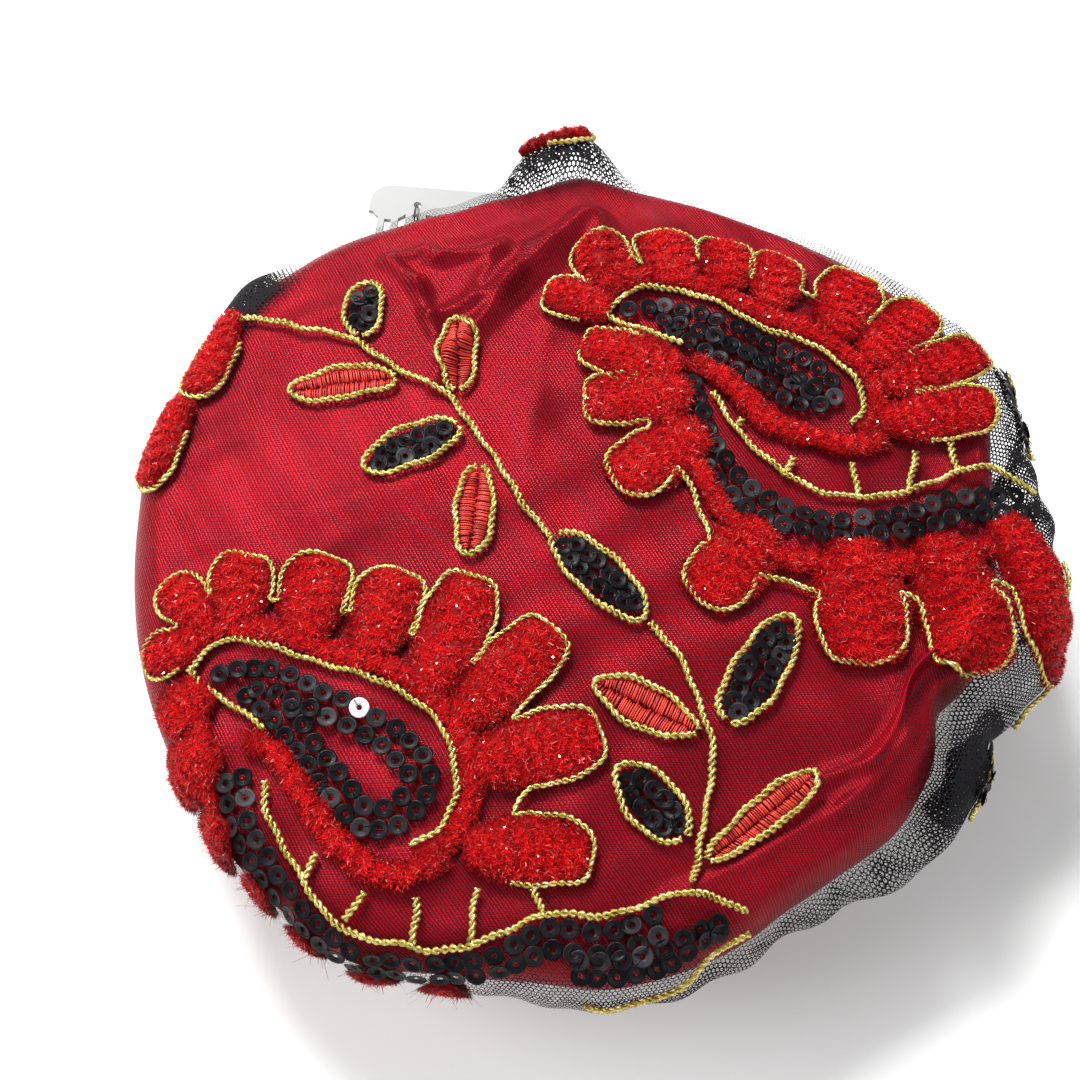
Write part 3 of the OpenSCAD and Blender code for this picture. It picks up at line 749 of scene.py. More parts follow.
def leafPoint(leaf, f, extra=0.0):
    # ellipse from foot to tip: along = L/2 - (L/2 + extra) cos f, across = (W/2 + extra) sin f
    foot, width, long, d, n = rootToTip(leaf)
    along = long / 2 - (long / 2 + extra) * np.cos(f)
    across = (width / 2 + extra) * np.sin(f)
    return foot + along[..., None] * d + across[..., None] * n


# ---- embroidery shapes, each a list of (points, faces)


def tube(centres, side, up, radius, sides=6):
    # a circle of the radius carried along the centres, closed with a point at each end
    turn = turns(sides)
    radius = np.broadcast_to(radius, len(centres))[:, None, None]
    ring = centres[:, None] + radius * (np.cos(turn)[None, :, None] * side[:, None]
                                        + np.sin(turn)[None, :, None] * up[:, None])
    n = len(centres)
    points = np.concatenate([ring.reshape(-1, 3), centres[:1], centres[-1:]])
    walls = gridFaces(n, sides, wrap=True)[:, ::-1]
    first = fanFaces(n * sides, 0, sides)[:, ::-1]
    final = fanFaces(n * sides + 1, (n - 1) * sides, sides)[:, [1, 2, 0]]
    return [(points, walls), onSame(first, points), onSame(final, points)]


cordStyle = {"ply": 0.52, "apart": 0.46, "twist": 3.6, "step": 0.5, "lie": 0.95, "wobble": 0.48}


def twistedCord(path, rise=0.0, thick=1.0):
    # two plies that wind round the path: centre = path + apart (cos t side + sin t up)
    c = cordStyle
    centres, up = onNet(path[:, 0], path[:, 1], np.full(len(path), c["lie"]) + rise)
    side = unit(np.cross(up, unit(np.gradient(centres, axis=0))))
    run = np.arange(len(path)) * c["step"]
    loose = 1 + 0.22 * np.sin(run / 4.7 + dice.uniform(0, 6)) + 0.1 * np.sin(run / 1.9)
    shapes = []
    for ply in (0, math.pi):
        t = 2 * math.pi * run / c["twist"] + ply + 0.6 * np.sin(run / 6.3)
        swing = c["apart"] * loose * thick
        line = centres + side * (swing * np.cos(t))[:, None] + up * (0.8 * swing * np.sin(t))[:, None]
        shapes += tube(line, side, up, c["ply"] * thick * (0.9 + 0.15 * np.sin(2.2 * t)), 6)
    return shapes


def cordPiece(name, paths, nodes, rise=0.0, thick=1.0):
    c = cordStyle
    shapes = []
    for path in paths:
        shapes += twistedCord(smoothPath(path, c["step"], c["wobble"]), rise, thick)
    return makePiece(name, shapes, gold, nodes)


def loopPath(petal, start=66, end=294, extra=2.2, turn=1):
    # open loop round a petal's tip, extra outside it, between two angles of petalPoint
    f = np.radians(np.linspace(start, end, 13)[::turn])
    return petalPoint(petal, f, extra)


def leafLoop(leaf):
    # nearly closed ellipse just outside a leaf
    return leafPoint(leaf, np.radians(np.linspace(8, 352, 20)), 1.1)


pile = {"deep": 2.2, "row": 3.4, "perArea": 15.0, "long": (0.6, 1.5), "wide": (0.14, 0.26)}


def pileHeight(p, k, deep, rowWay):
    # a pad with rounded sides, sin(pi k)^0.4, ridged where one row of yarn lies by the next
    x = p @ rowWay
    y = p[..., 0] * rowWay[1] - p[..., 1] * rowWay[0]
    bend = 0.9 * np.sin(0.55 * y + 0.3 * x)
    rows = np.abs(np.sin(math.pi * (x + bend) / pile["row"])) ** 0.6
    lump = 0.5 * np.sin(1.9 * x + 1.3 * y) * np.sin(1.2 * x - 1.7 * y + 1)
    return deep * np.maximum(np.sin(math.pi * k), 0) ** 0.4 * (0.5 + 0.5 * rows + 0.24 * lump)


def chenillePad(first, second, deep=None, fringe=0.0, ends=0.6):
    # pad between the lines first and second; short fibres stand on it at every slant
    deep = deep or pile["deep"]
    n = len(first)
    along = second - first
    width = np.hypot(along[:, 0], along[:, 1])
    middle = (first + second) / 2
    spine = middle[-1] - middle[0]
    rowWay = spine / max(np.hypot(*spine), 1e-6)
    fade = np.minimum(1, np.minimum(np.arange(n), np.arange(n)[::-1]) / (0.12 * n) * (1 - ends) + ends)
    columns = 11
    k = np.linspace(0.02, 0.98, columns)
    p = first[:, None] + along[:, None] * k[None, :, None]
    high = pileHeight(p, k[None, :], deep, rowWay) * fade[:, None] + 0.25
    low = np.linspace(0.9, 0.1, 3)
    q = first[:, None] + along[:, None] * low[None, :, None]
    flat = np.concatenate([p, q], 1)
    h = np.concatenate([high, np.full((n, 3), 0.12)], 1)
    points, _ = onNet(flat[..., 0].ravel(), flat[..., 1].ravel(), h.ravel())
    total = columns + 3
    walls = gridFaces(n, total, wrap=True)
    one = np.arange(1, total - 1)
    caps = np.concatenate([np.stack([np.zeros(total - 2, int), one, one + 1], -1),
                           (n - 1) * total + np.stack([np.zeros(total - 2, int), one + 1, one], -1)])
    body = [(points, walls), onSame(caps, points)]
    # the pad under the fibres is painted dark: painted shade between the fibres
    bodyPaintedShade = np.full(len(points), 0.12)

    # fibres: more where the pad is wide
    length = np.hypot(*np.diff(middle, axis=0).T)
    area = (width[1:] + width[:-1]) / 2 * length
    count = int(area.sum() * pile["perArea"])
    span = dice.choice(n - 1, count, p=area / area.sum())
    part = dice.random(count)
    k = dice.random(count)
    a = first[span] + (first[span + 1] - first[span]) * part[:, None]
    b = second[span] + (second[span + 1] - second[span]) * part[:, None]
    p = a + (b - a) * k[:, None]
    fadeHere = fade[span] + (fade[span + 1] - fade[span]) * part
    h = pileHeight(p, k, deep, rowWay) * fadeHere + 0.2
    root, up = onNet(p[:, 0], p[:, 1], h)
    slope, _ = onNet(p[:, 0] + (b - a)[:, 0] * 0.02, p[:, 1] + (b - a)[:, 1] * 0.02, h)
    across = unit(slope - root)
    ahead = np.cross(across, up)
    spin = dice.uniform(0, 2 * math.pi, count)
    lift = np.radians(dice.uniform(2, 42, count))
    # near a side the fibres lean out over it
    out = 1.5 * (2 * k - 1) ** 3
    way = unit(across * (np.cos(spin) + out)[:, None] + ahead * np.sin(spin)[:, None])
    blade = way * np.cos(lift)[:, None] + up * np.sin(lift)[:, None]
    longer = dice.uniform(*pile["long"], count)
    wide = dice.uniform(*pile["wide"], count)
    # a random tone for each fibre, with painted shade where the pile is low and lighter where it is high
    shade = np.clip(dice.normal(0.5, 0.24, count) + 0.42 * (h - h.mean()), 0.05, 1)
    glint = np.where(dice.random(count) < 0.004, 1.0, 0.0)
    tinsel = dice.random(count) < 0.03
    if fringe:
        stray = dice.random(count) < 0.05
        longer = np.where(stray, longer * dice.uniform(1.4, fringe, count), longer)
        wide = np.where(stray, 0.16, wide)
        blade = np.where(stray[:, None], blade + 0.4 * (dice.random((count, 3)) - 0.5), blade)
    longer = np.where(glint > 0, 0.55, longer)
    wide = np.where(glint > 0, 0.4, wide)
    glint = np.where(tinsel & (glint == 0), 0.3, glint)
    root = root + up * (0.3 * glint)[:, None]
    flatSide = np.cross(blade, up)
    flatSide /= np.maximum(np.linalg.norm(flatSide, axis=1, keepdims=True), 1e-6)
    tip = root + blade * longer[:, None]
    halfWide = (wide / 2)[:, None]
    corners = np.stack([root + flatSide * halfWide, root - flatSide * halfWide,
                        tip - flatSide * halfWide * 0.5, tip + flatSide * halfWide * 0.5], 1)
    quads = np.arange(count * 4).reshape(-1, 4)[:, ::-1]
    fibres = [(corners.reshape(-1, 3), quads)]
    # roots at 0.55 of the tip: painted shade at the foot of each fibre
    fibreToneAndPaintedShade = np.stack([shade * 0.55, shade * 0.55, shade, shade], 1).ravel()
    return (body + fibres, np.concatenate([bodyPaintedShade, fibreToneAndPaintedShade]),
            np.concatenate([np.zeros(len(bodyPaintedShade)), np.repeat(glint, 4)]))


def petalPad(petal, fringe=0.0, grow=2.1, back=2.0, deep=None):
    # a finger run back at its root, cut across into lines from one side to the other
    root, tip = np.array(petal[0], float), np.array(petal[1], float)
    petal = (root - back * (tip - root) / np.hypot(*(tip - root)), tip, petal[2])
    f = np.radians(np.linspace(14, 166, 18))
    ripple = 1 + 0.05 * np.sin(5 * f)
    left = petalPoint(petal, f, grow)
    right = petalPoint(petal, 2 * math.pi - f, grow)
    middle = (left + right) / 2
    left = middle + (left - middle) * ripple[:, None]
    return chenillePad(right, left, deep=deep, fringe=fringe)


def yarnPad(path, width, deep=1.6):
    # a strip of pile along a curve: sides = curve -+ (width / 2) (1 + 0.12 sin 1.1 i)
    curve = smoothPath(path, 1.4, 0.3)
    side = leftOf(curve)
    swell = (1 + 0.12 * np.sin(np.arange(len(curve)) * 1.1))[:, None] * width / 2
    return chenillePad(curve - side * swell, curve + side * swell, deep=deep, ends=0.5)


def chenillePiece(name, pads, nodes):
    shapes = [shape for pad in pads for shape in pad[0]]
    extra = {"shade": np.concatenate([pad[1] for pad in pads]),
             "glint": np.concatenate([pad[2] for pad in pads])}
    return makePiece(name, shapes, chenille, nodes, extra=extra)


sequinStyle = {"round": 4.7, "hole": 1.3, "cup": 0.3, "thick": 0.12, "segments": 16, "rise": 0.45,
               "riseSpread": 0.4, "tilt": 0.11, "stray": 0.22, "thread": 0.09}


def sequinShape():
    # a shallow cup with a hole: height = cup (r / R)^2, with a flat eased in round the hole
    c = sequinStyle
    turn = turns(c["segments"])
    rings = [(c["hole"] / 2, 0.0), (1.3, 0.02), (1.8, 0.14), (c["round"] / 2, c["cup"])]
    r = np.array([q[0] for q in rings] + [q[0] for q in rings[::-1]])
    z = np.array([q[1] for q in rings] + [q[1] - c["thick"] for q in rings[::-1]])
    points = np.stack([r[:, None] * np.cos(turn), r[:, None] * np.sin(turn),
                       np.broadcast_to(z[:, None], (len(r), len(turn)))], -1)
    faces = gridFaces(len(r) + 1, c["segments"], wrap=True) % (len(r) * c["segments"])
    return points.reshape(-1, 3), faces


def sequinPiece(name, places, nodes, clear=()):
    # each sequin takes its own tilt, turn, height and shade; a short thread holds it
    base, faces = sequinShape()
    c = sequinStyle
    places = np.concatenate(places)
    count = len(places)
    places = places + dice.normal(0, c["stray"], (count, 2))
    centre, up = onNet(places[:, 0], places[:, 1], c["rise"] + dice.uniform(0, c["riseSpread"], count))
    lean = unit(up + dice.normal(0, c["tilt"], (count, 3)))
    x = unit(np.cross(lean, np.array([0.3, 0.9, 0.2])))
    y = np.cross(lean, x)
    points = (centre[:, None] + base[None, :, :1] * x[:, None] + base[None, :, 1:2] * y[:, None]
              + base[None, :, 2:] * lean[:, None])
    allFaces = (faces[None] + (np.arange(count) * len(base))[:, None, None]).reshape(-1, 4)
    shade = np.clip(dice.normal(0.45, 0.28, count), 0.05, 0.9)
    # the listed sequins take the pale stop, a painted reflection
    shade[list(clear)] = 1.0
    # a thread from the hole out over the rim
    spin = dice.uniform(0, 2 * math.pi, count)
    way = x * np.cos(spin)[:, None] + y * np.sin(spin)[:, None]
    bends, sides = 5, 4
    steps = np.linspace(0, 1, bends)
    reach = 0.1 + 2.6 * steps
    bow = 0.35 + 0.75 * np.sin(math.pi * (0.1 + 0.9 * steps)) - 0.55 * steps
    line = centre[:, None] + way[:, None] * reach[None, :, None] + lean[:, None] * bow[None, :, None]
    sideways = np.cross(way, lean)
    thin = c["thread"]
    ring = [line + sideways[:, None] * thin, line + lean[:, None] * thin,
            line - sideways[:, None] * thin, line - lean[:, None] * thin]
    threads = np.stack(ring, 2).reshape(count, -1, 3)
    first = (np.arange(count) * bends * sides)[:, None, None]
    strip = gridFaces(bends, sides, wrap=True)[:, ::-1]
    threadFaces = (strip[None] + first).reshape(-1, 4)
    ends = np.array([[0, 1, 2, 3], [19, 18, 17, 16]])[:, ::-1]
    endFaces = (ends[None] + first).reshape(-1, 4)
    threadPoints = threads.reshape(-1, 3)
    shapes = [(points.reshape(-1, 3), allFaces), (threadPoints, threadFaces),
              onSame(endFaces, threadPoints)]
    extra = {"shade": np.concatenate([np.repeat(shade, len(base)), np.zeros(len(threadPoints))])}
    return makePiece(name, shapes, sequinBlack, nodes, extra=extra)


def sequinRow(path, pitch, shift=0.0, start=0.0, end=1.0):
    # points a pitch apart along a curve, or along a line beside it
    curve = smoothPath(path, 0.5)
    if shift:
        curve = offsetPath(curve, shift)
    curve = curve[int(start * len(curve)):max(int(end * len(curve)), 2)]
    return resample(curve, pitch)


def leafColumns(leaf, pitch=3.3):
    # two columns of sequins side by side, one half a pitch ahead, closer together at the ends
    foot, width, long, d, n = rootToTip(leaf)
    rows = []
    for sign in (-1, 1):
        at = np.arange(2.4 + (0.5 * pitch if sign > 0 else 0), long - 2.2, pitch)
        spread = (width / 2 - 2.2) * np.sin(math.pi * at / long) ** 0.7
        rows.append(foot + at[:, None] * d + sign * spread[:, None] * n)
    return np.concatenate(rows)


stitchStyle = {"pitch": 0.56, "thick": 0.21, "slant": 0.25, "high": 0.5}


def stitchedLeaf(leaf):
    # straight stitches from a ragged midrib out to each side, each an arched thread
    c = stitchStyle
    foot, width, long, d, n = rootToTip(leaf)
    shapes, shade = [], []
    for sign in (-1, 1):
        at = np.arange(0.7, long - 0.5, c["pitch"])
        for x in at + dice.normal(0, 0.05, len(at)):
            reach = width / 2 * math.sin(math.acos(np.clip(1 - 2 * x / long, -1, 1))) + 0.35
            t = np.linspace(0, 1, 5)
            inner = dice.uniform(-0.1, 0.55) if reach > 1.6 else 0.1
            off = inner + (reach - inner) * t
            along = x - c["slant"] * (1 - t) + dice.normal(0, 0.09)
            p = foot + along[:, None] * d + sign * off[:, None] * n
            high = 0.3 + c["high"] * np.sin(math.pi * t) ** 0.5 * min(1, reach / 2.5)
            line, up = onNet(p[:, 0], p[:, 1], high)
            side = np.cross(up, unit(np.gradient(line, axis=0)))
            part = tube(line, side, up, c["thick"], 5)
            shapes += part
            shade.append(np.full(len(part[0][0]), dice.uniform(0.1, 1.0)))
    return shapes, np.concatenate(shade)


# ---- the embroidery itself: petals and leaves are (root, tip, width)

leftMotif = {
    # clear lists the sequin painted pale as a painted reflection
    "clear": (8,),
    "petals": [[(-96, -34), (-106, -37), 9], [(-93, -27), (-101, -19), 10],
               [(-83, -26), (-82, -13), 14], [(-66, -29), (-63, -14), 15],
               [(-50, -33), (-45, -18), 14], [(-36, -42), (-27, -20), 15],
               [(-27, -50), (-10, -33), 14], [(-23, -62), (0, -57), 15],
               [(-25, -82), (-2, -83), 15]],
    "drop": [(-95, -40), (-87, -33), (-74, -34), (-60, -39), (-46, -44), (-36, -51), (-31, -60),
             (-30, -69), (-34, -77), (-40, -81)],
    "dropUnder": [(-95, -40), (-89, -46), (-80, -51), (-75, -54)],
    "stem": [(-80, -57), (-72, -60), (-64, -71), (-56, -81), (-44, -88), (-32, -84)],
    "crescent": [(-75, -67), (-73, -75), (-64, -89), (-55, -98), (-42, -104), (-33, -106),
                 (-20, -103), (-10, -98), (2, -98), (21, -95), (36, -102)],
    "rungs": [[(-61, -83), (-64, -88)], [(-50, -91), (-54, -97)], [(-39, -93), (-40, -104)],
              [(-26, -92), (-27, -105)], [(-13, -92), (-11, -98)]],
    "outerRow": [(-87, -41), (-74, -39.5), (-62, -45), (-50, -50.5), (-40, -58), (-36, -66),
                 (-40, -74.5), (-50, -77.5), (-58, -71), (-65, -62), (-72, -53), (-80, -46.5)],
    "bandRow": [(-82, -67), (-80, -77), (-73, -88), (-64, -98), (-53, -107), (-38, -112),
                (-22, -110), (-10, -104), (2, -104), (14, -101)],
    "lowPetals": [[(-93, -47), (-100, -53), 11], [(-90, -60), (-101, -70), 14],
                  [(-88, -78), (-95, -88), 13], [(-79, -92), (-86, -101), 12],
                  [(-69, -104), (-75, -114), 13], [(-54, -115), (-58, -125), 13],
                  [(-37, -120), (-39, -131), 13]],
}
rightMotif = {
    "clear": (),
    "petals": [[(3, 58), (-8, 61), 11], [(8, 66), (2, 77), 13], [(23, 68), (20, 81), 14],
               [(36, 67), (38, 80), 13], [(48, 61), (52, 76), 12], [(63, 53), (73, 71), 15],
               [(73, 45), (88, 60), 13], [(77, 37), (100, 47), 11], [(75, 25), (101, 31), 12]],
    "drop": [(5, 55), (16, 64), (29, 61), (43, 53), (58, 46), (67, 37), (68, 29), (65, 24)],
    "dropUnder": [(5, 55), (15, 50), (24, 46)],
    "stem": [(26, 42), (36, 34), (46, 23), (62, 18), (73, 20)],
    "crescent": [(31, 32), (35, 24), (44, 13), (54, 6), (66, 4), (78, 6), (91, 12), (101, 13),
                 (112, 8)],
    "rungs": [[(38, 25), (36, 22)], [(50, 14), (47, 9)], [(64, 13), (65, 4)], [(80, 17), (78, 6)],
              [(90, 20), (92, 12)]],
    "outerRow": [(11, 56), (22, 58), (35, 53), (48, 46), (59, 39), (61.5, 32), (54, 28.5),
                 (43, 35), (33, 43), (22, 50)],
    "bandRow": [(24, 34), (27, 22), (33, 9), (43, 0), (56, -4), (74, -3), (92, 3), (106, 4)],
    "lowPetals": [[(17, 40), (1, 45), 11], [(19, 31), (2, 29), 13], [(23, 18), (8, 8), 13],
                  [(38, -9), (27, -22), 14], [(63, -14), (63, -36), 20], [(84, -12), (92, -39), 19],
                  [(103, -6), (116, -38), 15]],
}
vine = {
    "paths": [[(-91, 58), (-78, 55), (-62, 50), (-55, 46), (-43, 37), (-34, 31), (-26, 19),
               (-20, 9), (-14, -1), (-9, -8)],
              [(14, -29), (21, -39), (27, -56), (26, -68), (24, -82), (23, -93)]],
    "stitched": [[(-48, 37), (-73, 34), 6.5], [(-32, 34), (-32, 53), 7], [(-26, 10), (-28, -11), 7],
                 [(23, -55), (2, -44), 7.5], [(27, -86), (50, -66), 8]],
    "sequinned": [[(-57, 51), (-56, 66), 8], [(-32, 22), (-53, 12), 8.5], [(-7, -8), (12, -27), 9],
                  [(31.5, -52), (46, -29), 9.5], [(20, -79), (7, -64), 9.5]],
}
edgeParts = {
    "petals": [[(-93, 57), (-100, 37), 9], [(-104, 31), (-112, 12), 10], [(-13, 112), (0, 113), 9]],
    "rows": [[(108, 44), (115, 25)], [(-3, -112), (10, -112), (21, -109.5), (30, -107.5)],
             [(103, -62), (97, -70)]],
    "cords": [[(112, 48), (119, 34), (120, 22)], [(121, -8), (124, -30), (116, -54)],
              [(-2, -121), (12, -121), (26, -116), (38, -109)], [(108, -62), (104, -74), (96, -78)]],
}


def chain(petals, turn=1):
    # one cord that runs round each petal in turn and dips between neighbours
    return np.concatenate([loopPath(p, 72, 288, 2.2, turn) for p in petals])


def addMotif(side, motif):
    rootUp = smoothPath(motif["drop"], 3.0)
    upper = [petalPad(p) for p in motif["petals"]]
    upper.append(yarnPad(offsetPath(rootUp, 3.4), 5.0))
    chenillePiece(side + "Petals", upper, [side + "_petals"])
    cordPiece(side + "PetalCord", [chain(motif["petals"])], [side + "_petal_cord"], 0.4, 0.78)
    cordPiece(side + "DropCord", [motif["drop"], motif["dropUnder"]], [side + "_drop_cord"])
    outer = sequinRow(motif["outerRow"], 4.7)
    inner = sequinRow(motif["outerRow"], 4.8, -4.9, 0.08, 0.92)
    sequinPiece(side + "DropSequins", [outer, inner], [side + "_drop_sequins"],
                clear=motif["clear"])
    chenillePiece(side + "Stem", [yarnPad(motif["stem"], 5.6, 2.1)], [side + "_stem"])
    cordPiece(side + "CrescentCord", [motif["crescent"]] + motif["rungs"],
              [side + "_crescent_cord"])
    band = [sequinRow(motif["bandRow"], 4.7, 2.3), sequinRow(motif["bandRow"], 4.8, -2.4)]
    sequinPiece(side + "BandSequins", band, [side + "_band_sequins"])


for side, motif in (("left", leftMotif), ("right", rightMotif)):
    addMotif(side, motif)
print("motifs sewn")

low = leftMotif["lowPetals"]
pads = [petalPad(p, fringe=3.2) for p in low[:3]]
pads += [petalPad(p, fringe=4.0, grow=0.8, deep=1.3) for p in low[3:]]
pads.append(yarnPad([p[0] for p in low[:3]], 4.2))
chenillePiece("leftLowPetals", pads, ["left_low_petals"])

low = rightMotif["lowPetals"]
pads = [petalPad(p, grow=3.0, back=4.0) for p in low]
pads.append(yarnPad([p[0] for p in low], 5.0))
chenillePiece("rightLowPetals", pads, ["right_low_petals"])
cordPiece("rightLowCord", [chain(low, -1)], ["right_low_cord"], 0.4, 0.85)

cordPiece("vineCord", vine["paths"], ["vine_cord"])
leaves = [stitchedLeaf(leaf) for leaf in vine["stitched"]]
makePiece("stitchedLeaves", [s for leaf in leaves for s in leaf[0]], stitchRed, ["stitched_leaves"],
          extra={"shade": np.concatenate([leaf[1] for leaf in leaves])})
cordPiece("stitchedLeafCord", [leafLoop(leaf) for leaf in vine["stitched"]], ["stitched_leaf_cord"])
sequinPiece("leafSequins", [leafColumns(leaf) for leaf in vine["sequinned"]], ["leaf_sequins"])
cordPiece("sequinLeafCord", [leafLoop(leaf) for leaf in vine["sequinned"]], ["sequin_leaf_cord"])

chenillePiece("edgePetals", [petalPad(p) for p in edgeParts["petals"]], ["edge_petals"])
cordPiece("edgePetalCord", [loopPath(p) for p in edgeParts["petals"]], ["edge_petal_cord"])
sequinPiece("edgeSequins", [sequinRow(row, 4.4) for row in edgeParts["rows"]]
            + [sequinRow(row, 4.6, 4.0) for row in edgeParts["rows"]], ["edge_sequins"])
cordPiece("edgeCord", edgeParts["cords"], ["edge_cord"])
print("embroidery done")

# ---- inside of the hat: padding, band, lining and comb


def wallRings(name, material, nodes, radii, heights, ripple, inward=False, segments=240):
    # a wall turned about the upright axis: radius and height per row, rippled round by angle
    turn = turns(segments)
    r = np.array(radii, float)[:, None] + ripple * np.sin(31 * turn + 2 * np.sin(4 * turn))[None, :]
    z = np.broadcast_to(np.array(heights, float)[:, None], r.shape)
    points = np.stack([r * np.cos(turn), r * np.sin(turn), z], -1)
    run = np.concatenate([[0], np.cumsum(np.hypot(np.diff(radii), np.diff(heights)))])
    uv = np.stack(np.broadcast_arrays(turn[None, :] * np.mean(radii), run[:, None]), -1)
    faces = gridFaces(len(radii), segments, wrap=True)
    if inward:
        faces = faces[:, ::-1]
    return makePiece(name, [(points.reshape(-1, 3), faces)], material, nodes,
                     uv=uv.reshape(-1, 2))


def padRing(profile, segments=120):
    # closed section carried round the net's centre; the section may change with the angle
    turn = turns(segments)
    r, z = profile(turn)
    points = roundCentre(turn, r, z)
    # one row more than the section has, brought back to the first
    faces = gridFaces(len(points) + 1, segments, wrap=True) % (len(points) * segments)
    return points.reshape(-1, 3), faces


padding = {"under": 1.6, "roundTo": 11.6}
boardLow, boardHigh = nodeBox("crown_board")


def rimSection(way):
    # outer half ellipse under the satin, then in along the bottom and up the inside
    edge = satinEdge(way)
    wide = rimWide(edge) - padding["under"]
    centreR = edge - padding["under"] - wide
    a = np.linspace(0.75, math.pi, 14)[:, None]
    r = np.concatenate([centreR + wide * np.sin(a),
                        np.broadcast_to(bandDistance(way) + 5, (1, len(way))),
                        np.broadcast_to(bandDistance(way) + 5, (1, len(way)))])
    z = np.concatenate([rimZ + padding["roundTo"] * np.cos(a) + 0 * way,
                        np.full((1, len(way)), rimZ - padding["roundTo"]),
                        np.full((1, len(way)), boardLow[2] - 1.5)])
    z = np.minimum(z, boardLow[2] - 0.4 + 0 * z)
    return r, z


rimPoints, rimFaces = padRing(rimSection)
rimPad = makePiece("rimWadding", [(rimPoints, rimFaces)], waddingWhite, ["rim_wadding"])


def crownPad(reach=94.0, rings=24, segments=96):
    # top follows the satin a little below it, bottom lies flat on the board
    way = turns(segments)
    s = np.linspace(3, reach, rings)[:, None]
    u, v = s * np.cos(way), s * np.sin(way)
    top = skin(u, v, "satin", folded=False) - np.array([0, 0, 1.6])
    flat = top[::-1].copy()
    flat[..., 2] = boardHigh[2] + 0.35
    top[..., 2] = np.maximum(top[..., 2], boardHigh[2] + 0.6)
    points = np.concatenate([top, flat]).reshape(-1, 3)
    ends = np.array([[*cap["centre"], top[0, 0, 2]], [*cap["centre"], boardHigh[2] + 0.35]])
    n = len(points)
    caps = np.concatenate([fanFaces(n, 0, segments),
                           fanFaces(n + 1, n - segments, segments)[:, [0, 2, 1]]])
    points = np.concatenate([points, ends])
    return [(points, gridFaces(2 * rings, segments, wrap=True)), onSame(caps, points)]


crownWadding = makePiece("crownWadding", crownPad(), waddingWhite, ["crown_wadding"])

# satin under the brim: from the band out to the satin rim
underSegments = 300
way = turns(underSegments)
satinOut = satinEdge(way) - rimWide(satinEdge(way))
share = np.linspace(0, 1, 12)[:, None]
r = satinOut + (bandDistance(way) + 0.3 - satinOut) * share
puckers = np.sin(56 * way + 3 * np.sin(5 * way)) * (0.15 + 0.5 * share)
z = cap["bottom"] + 1.3 + 0.45 * puckers
points = roundCentre(way, r, z)
cloth = np.stack(np.broadcast_arrays(r * np.cos(way), r * np.sin(way)), -1)
underFaces = gridFaces(len(share), underSegments, wrap=True)
satinUnder = makePiece("satinUnder", [(points.reshape(-1, 3), underFaces)], satinRed,
                       ["satin_under"], uv=cloth.reshape(-1, 2))

tapeLow, tapeHigh = nodeBox("net_binding")
tapeR = tapeHigh[0]
wallRings("netBinding", bindingBlack, ["net_binding"],
          [tapeR - 0.55, tapeR - 0.1, tapeR + 0.1, tapeR + 0.05, tapeR + 0.1, tapeR - 0.1, tapeR - 0.55],
          [tapeHigh[2], tapeHigh[2] + 0.1, tapeHigh[2] - 0.6, (tapeHigh[2] + tapeLow[2]) / 2,
           tapeLow[2] + 0.6, tapeLow[2], tapeLow[2] + 0.1], 0.07)

coverHigh = nodeBox("band_cover")[1]
coverR = coverHigh[0]
rows = np.linspace(0, 1, 14)
cover = wallRings("bandCover", satinRed, ["band_cover"],
                  [coverR - 0.9, coverR - 0.25] + list(coverR - 0.12 - 0.1 * np.sin(9 * rows))
                  + [coverR - 0.3],
                  [0.3, 0.0] + list(0.5 + rows * (coverHigh[2] - 1.0)) + [coverHigh[2]], 0.1)

ribbonHigh = nodeBox("sweatband")[1]
ribbonR = ribbonHigh[0]
ribbon = wallRings("sweatRibbon", ribbonRed, ["sweatband"],
                   [ribbonR - 0.1, ribbonR - 0.5, ribbonR - 0.35, ribbonR - 0.4, ribbonR - 0.35,
                    ribbonR - 0.45, ribbonR - 0.1],
                   [0.0, 0.25, 1.6, ribbonHigh[2] / 2, ribbonHigh[2] - 1.6, ribbonHigh[2] - 0.3,
                    ribbonHigh[2]], 0.06, inward=True)

# lining: up the side in gathers, then in over the top to the middle
liningLow, liningHigh = nodeBox("crown_lining")
liningSegments = 288
way = turns(liningSegments)
rows = np.concatenate([np.linspace(0, 1, 12), 1 + np.linspace(0.04, 1, 30)])[:, None]
liningReach = 100.5                     # from the middle of the lining as cut to its edge
sideR = liningHigh[0] - 0.7
gathers = np.sin(72 * way + 2 * np.sin(7 * way))
r = np.where(rows <= 1, sideR, sideR * (2 - rows) + 1.2)
r = r - 0.5 * (0.5 + 0.5 * gathers) * np.clip(1.3 - np.abs(rows - 1), 0, 1)
z = np.where(rows <= 1, liningLow[2] + (liningHigh[2] - 0.8 - liningLow[2]) * rows, liningHigh[2] - 0.8)
sag = 0.9 * (1 + gathers) * np.exp(-((rows - 1) * 5)) * 0.5 + 0.6 * (rows - 1) ** 2
z = z - np.where(rows > 1, sag, 0)
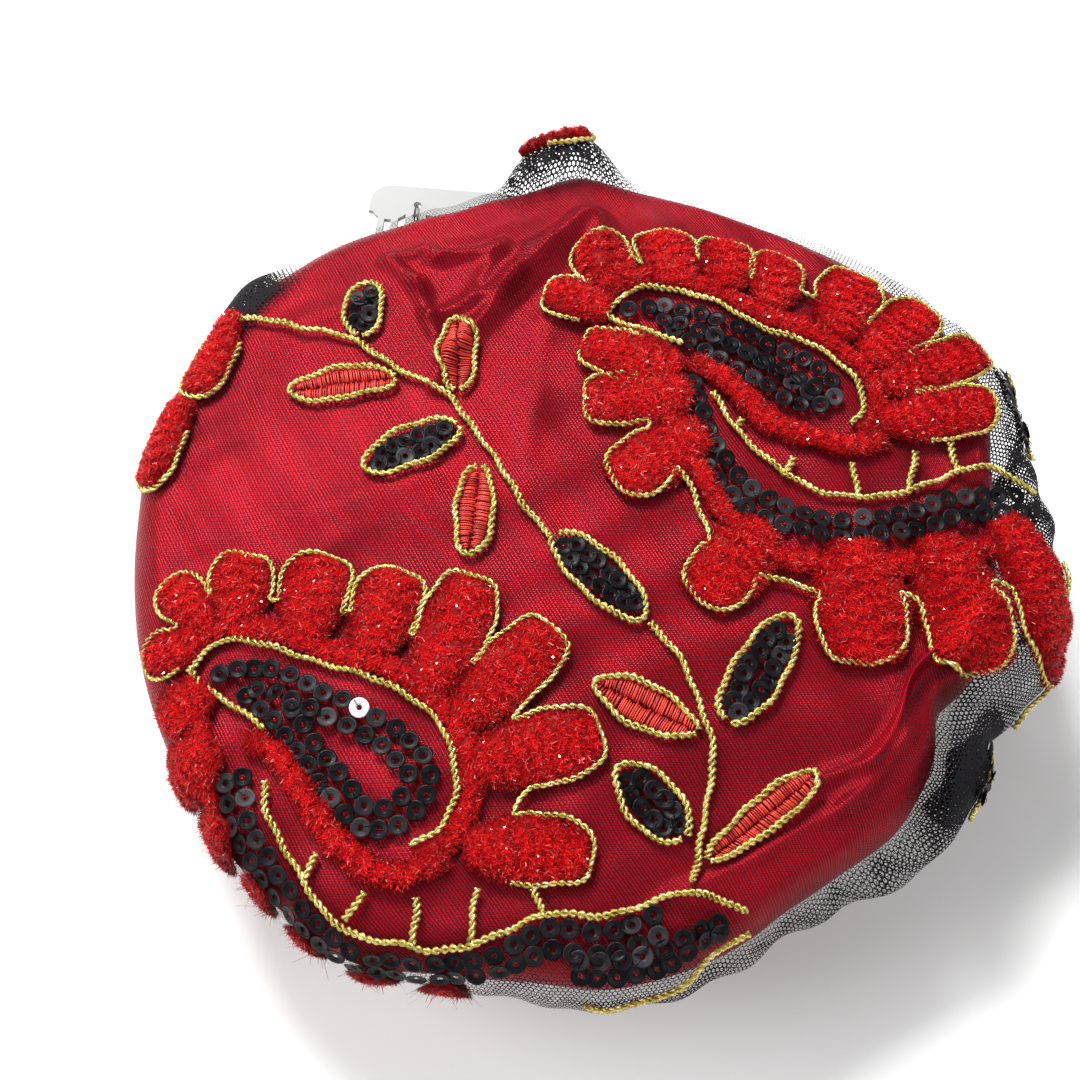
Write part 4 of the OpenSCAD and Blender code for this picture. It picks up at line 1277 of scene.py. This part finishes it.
points = np.stack(np.broadcast_arrays(r * np.cos(way), r * np.sin(way), z), -1).reshape(-1, 3)
middle = np.array([[0, 0, points[-liningSegments:, 2].mean()]])
hub = len(points)
fan = fanFaces(hub, hub - liningSegments, liningSegments)[:, [1, 2, 0]]
points = np.concatenate([points, middle])
flatRun = np.broadcast_to(liningReach * (1 - rows / 2), (len(rows), liningSegments))
cloth = np.stack([flatRun * np.cos(way), flatRun * np.sin(way)], -1).reshape(-1, 2)
liningFaces = gridFaces(len(rows), liningSegments, wrap=True)[:, ::-1]
liningPiece = makePiece("crownLining", [(points, liningFaces), onSame(fan, points)], liningRed,
                        ["crown_lining"], uv=np.concatenate([cloth, [[0.0, 0.0]]]))

for node, finish in (("headband", buckram), ("crown_board", boardTan), ("comb", clearPlastic),
                     ("comb_stitches", sewingBlack)):
    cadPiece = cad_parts[node]
    cadPiece.data.materials.clear()
    cadPiece.data.materials.append(finish)
print("hat made up inside")

# ---- floor and light

floor = bpy.data.meshes.new("floor")
floor.from_pydata([(-3, -3, 0), (3, -3, 0), (3, 3, 0), (-3, 3, 0)], [], [(0, 1, 2, 3)])
floorPiece = bpy.data.objects.new("floor", floor)
bpy.context.collection.objects.link(floorPiece)
floor.materials.append(newMaterial("floorPale", Base_Color=rgb(0.93, 0.93, 0.93), Roughness=0.9)[0])
addLight("ceiling", (-0.3, 0.7, 0.95), (0.45, 0.35), 22)
addLight("window", (-0.9, -0.1, 0.7), (0.6, 0.6), 8)
addLight("fill", (0.8, -0.7, 0.9), (0.9, 0.9), 8)
world = bpy.data.worlds.new("studio")
world.use_nodes = True
nodes, links = world.node_tree.nodes, world.node_tree.links
nodes["Background"].inputs[0].default_value = (1, 1, 1, 1)
# pale where it is seen, dim where it lights
seen = nodes.new("ShaderNodeLightPath").outputs["Is Camera Ray"]
glow = mathNode(nodes, links, "MULTIPLY_ADD", seen, 0.62, 0.23)
links.new(glow, nodes["Background"].inputs[1])
bpy.context.scene.world = world

bpy.context.scene.view_settings.view_transform = "Standard"
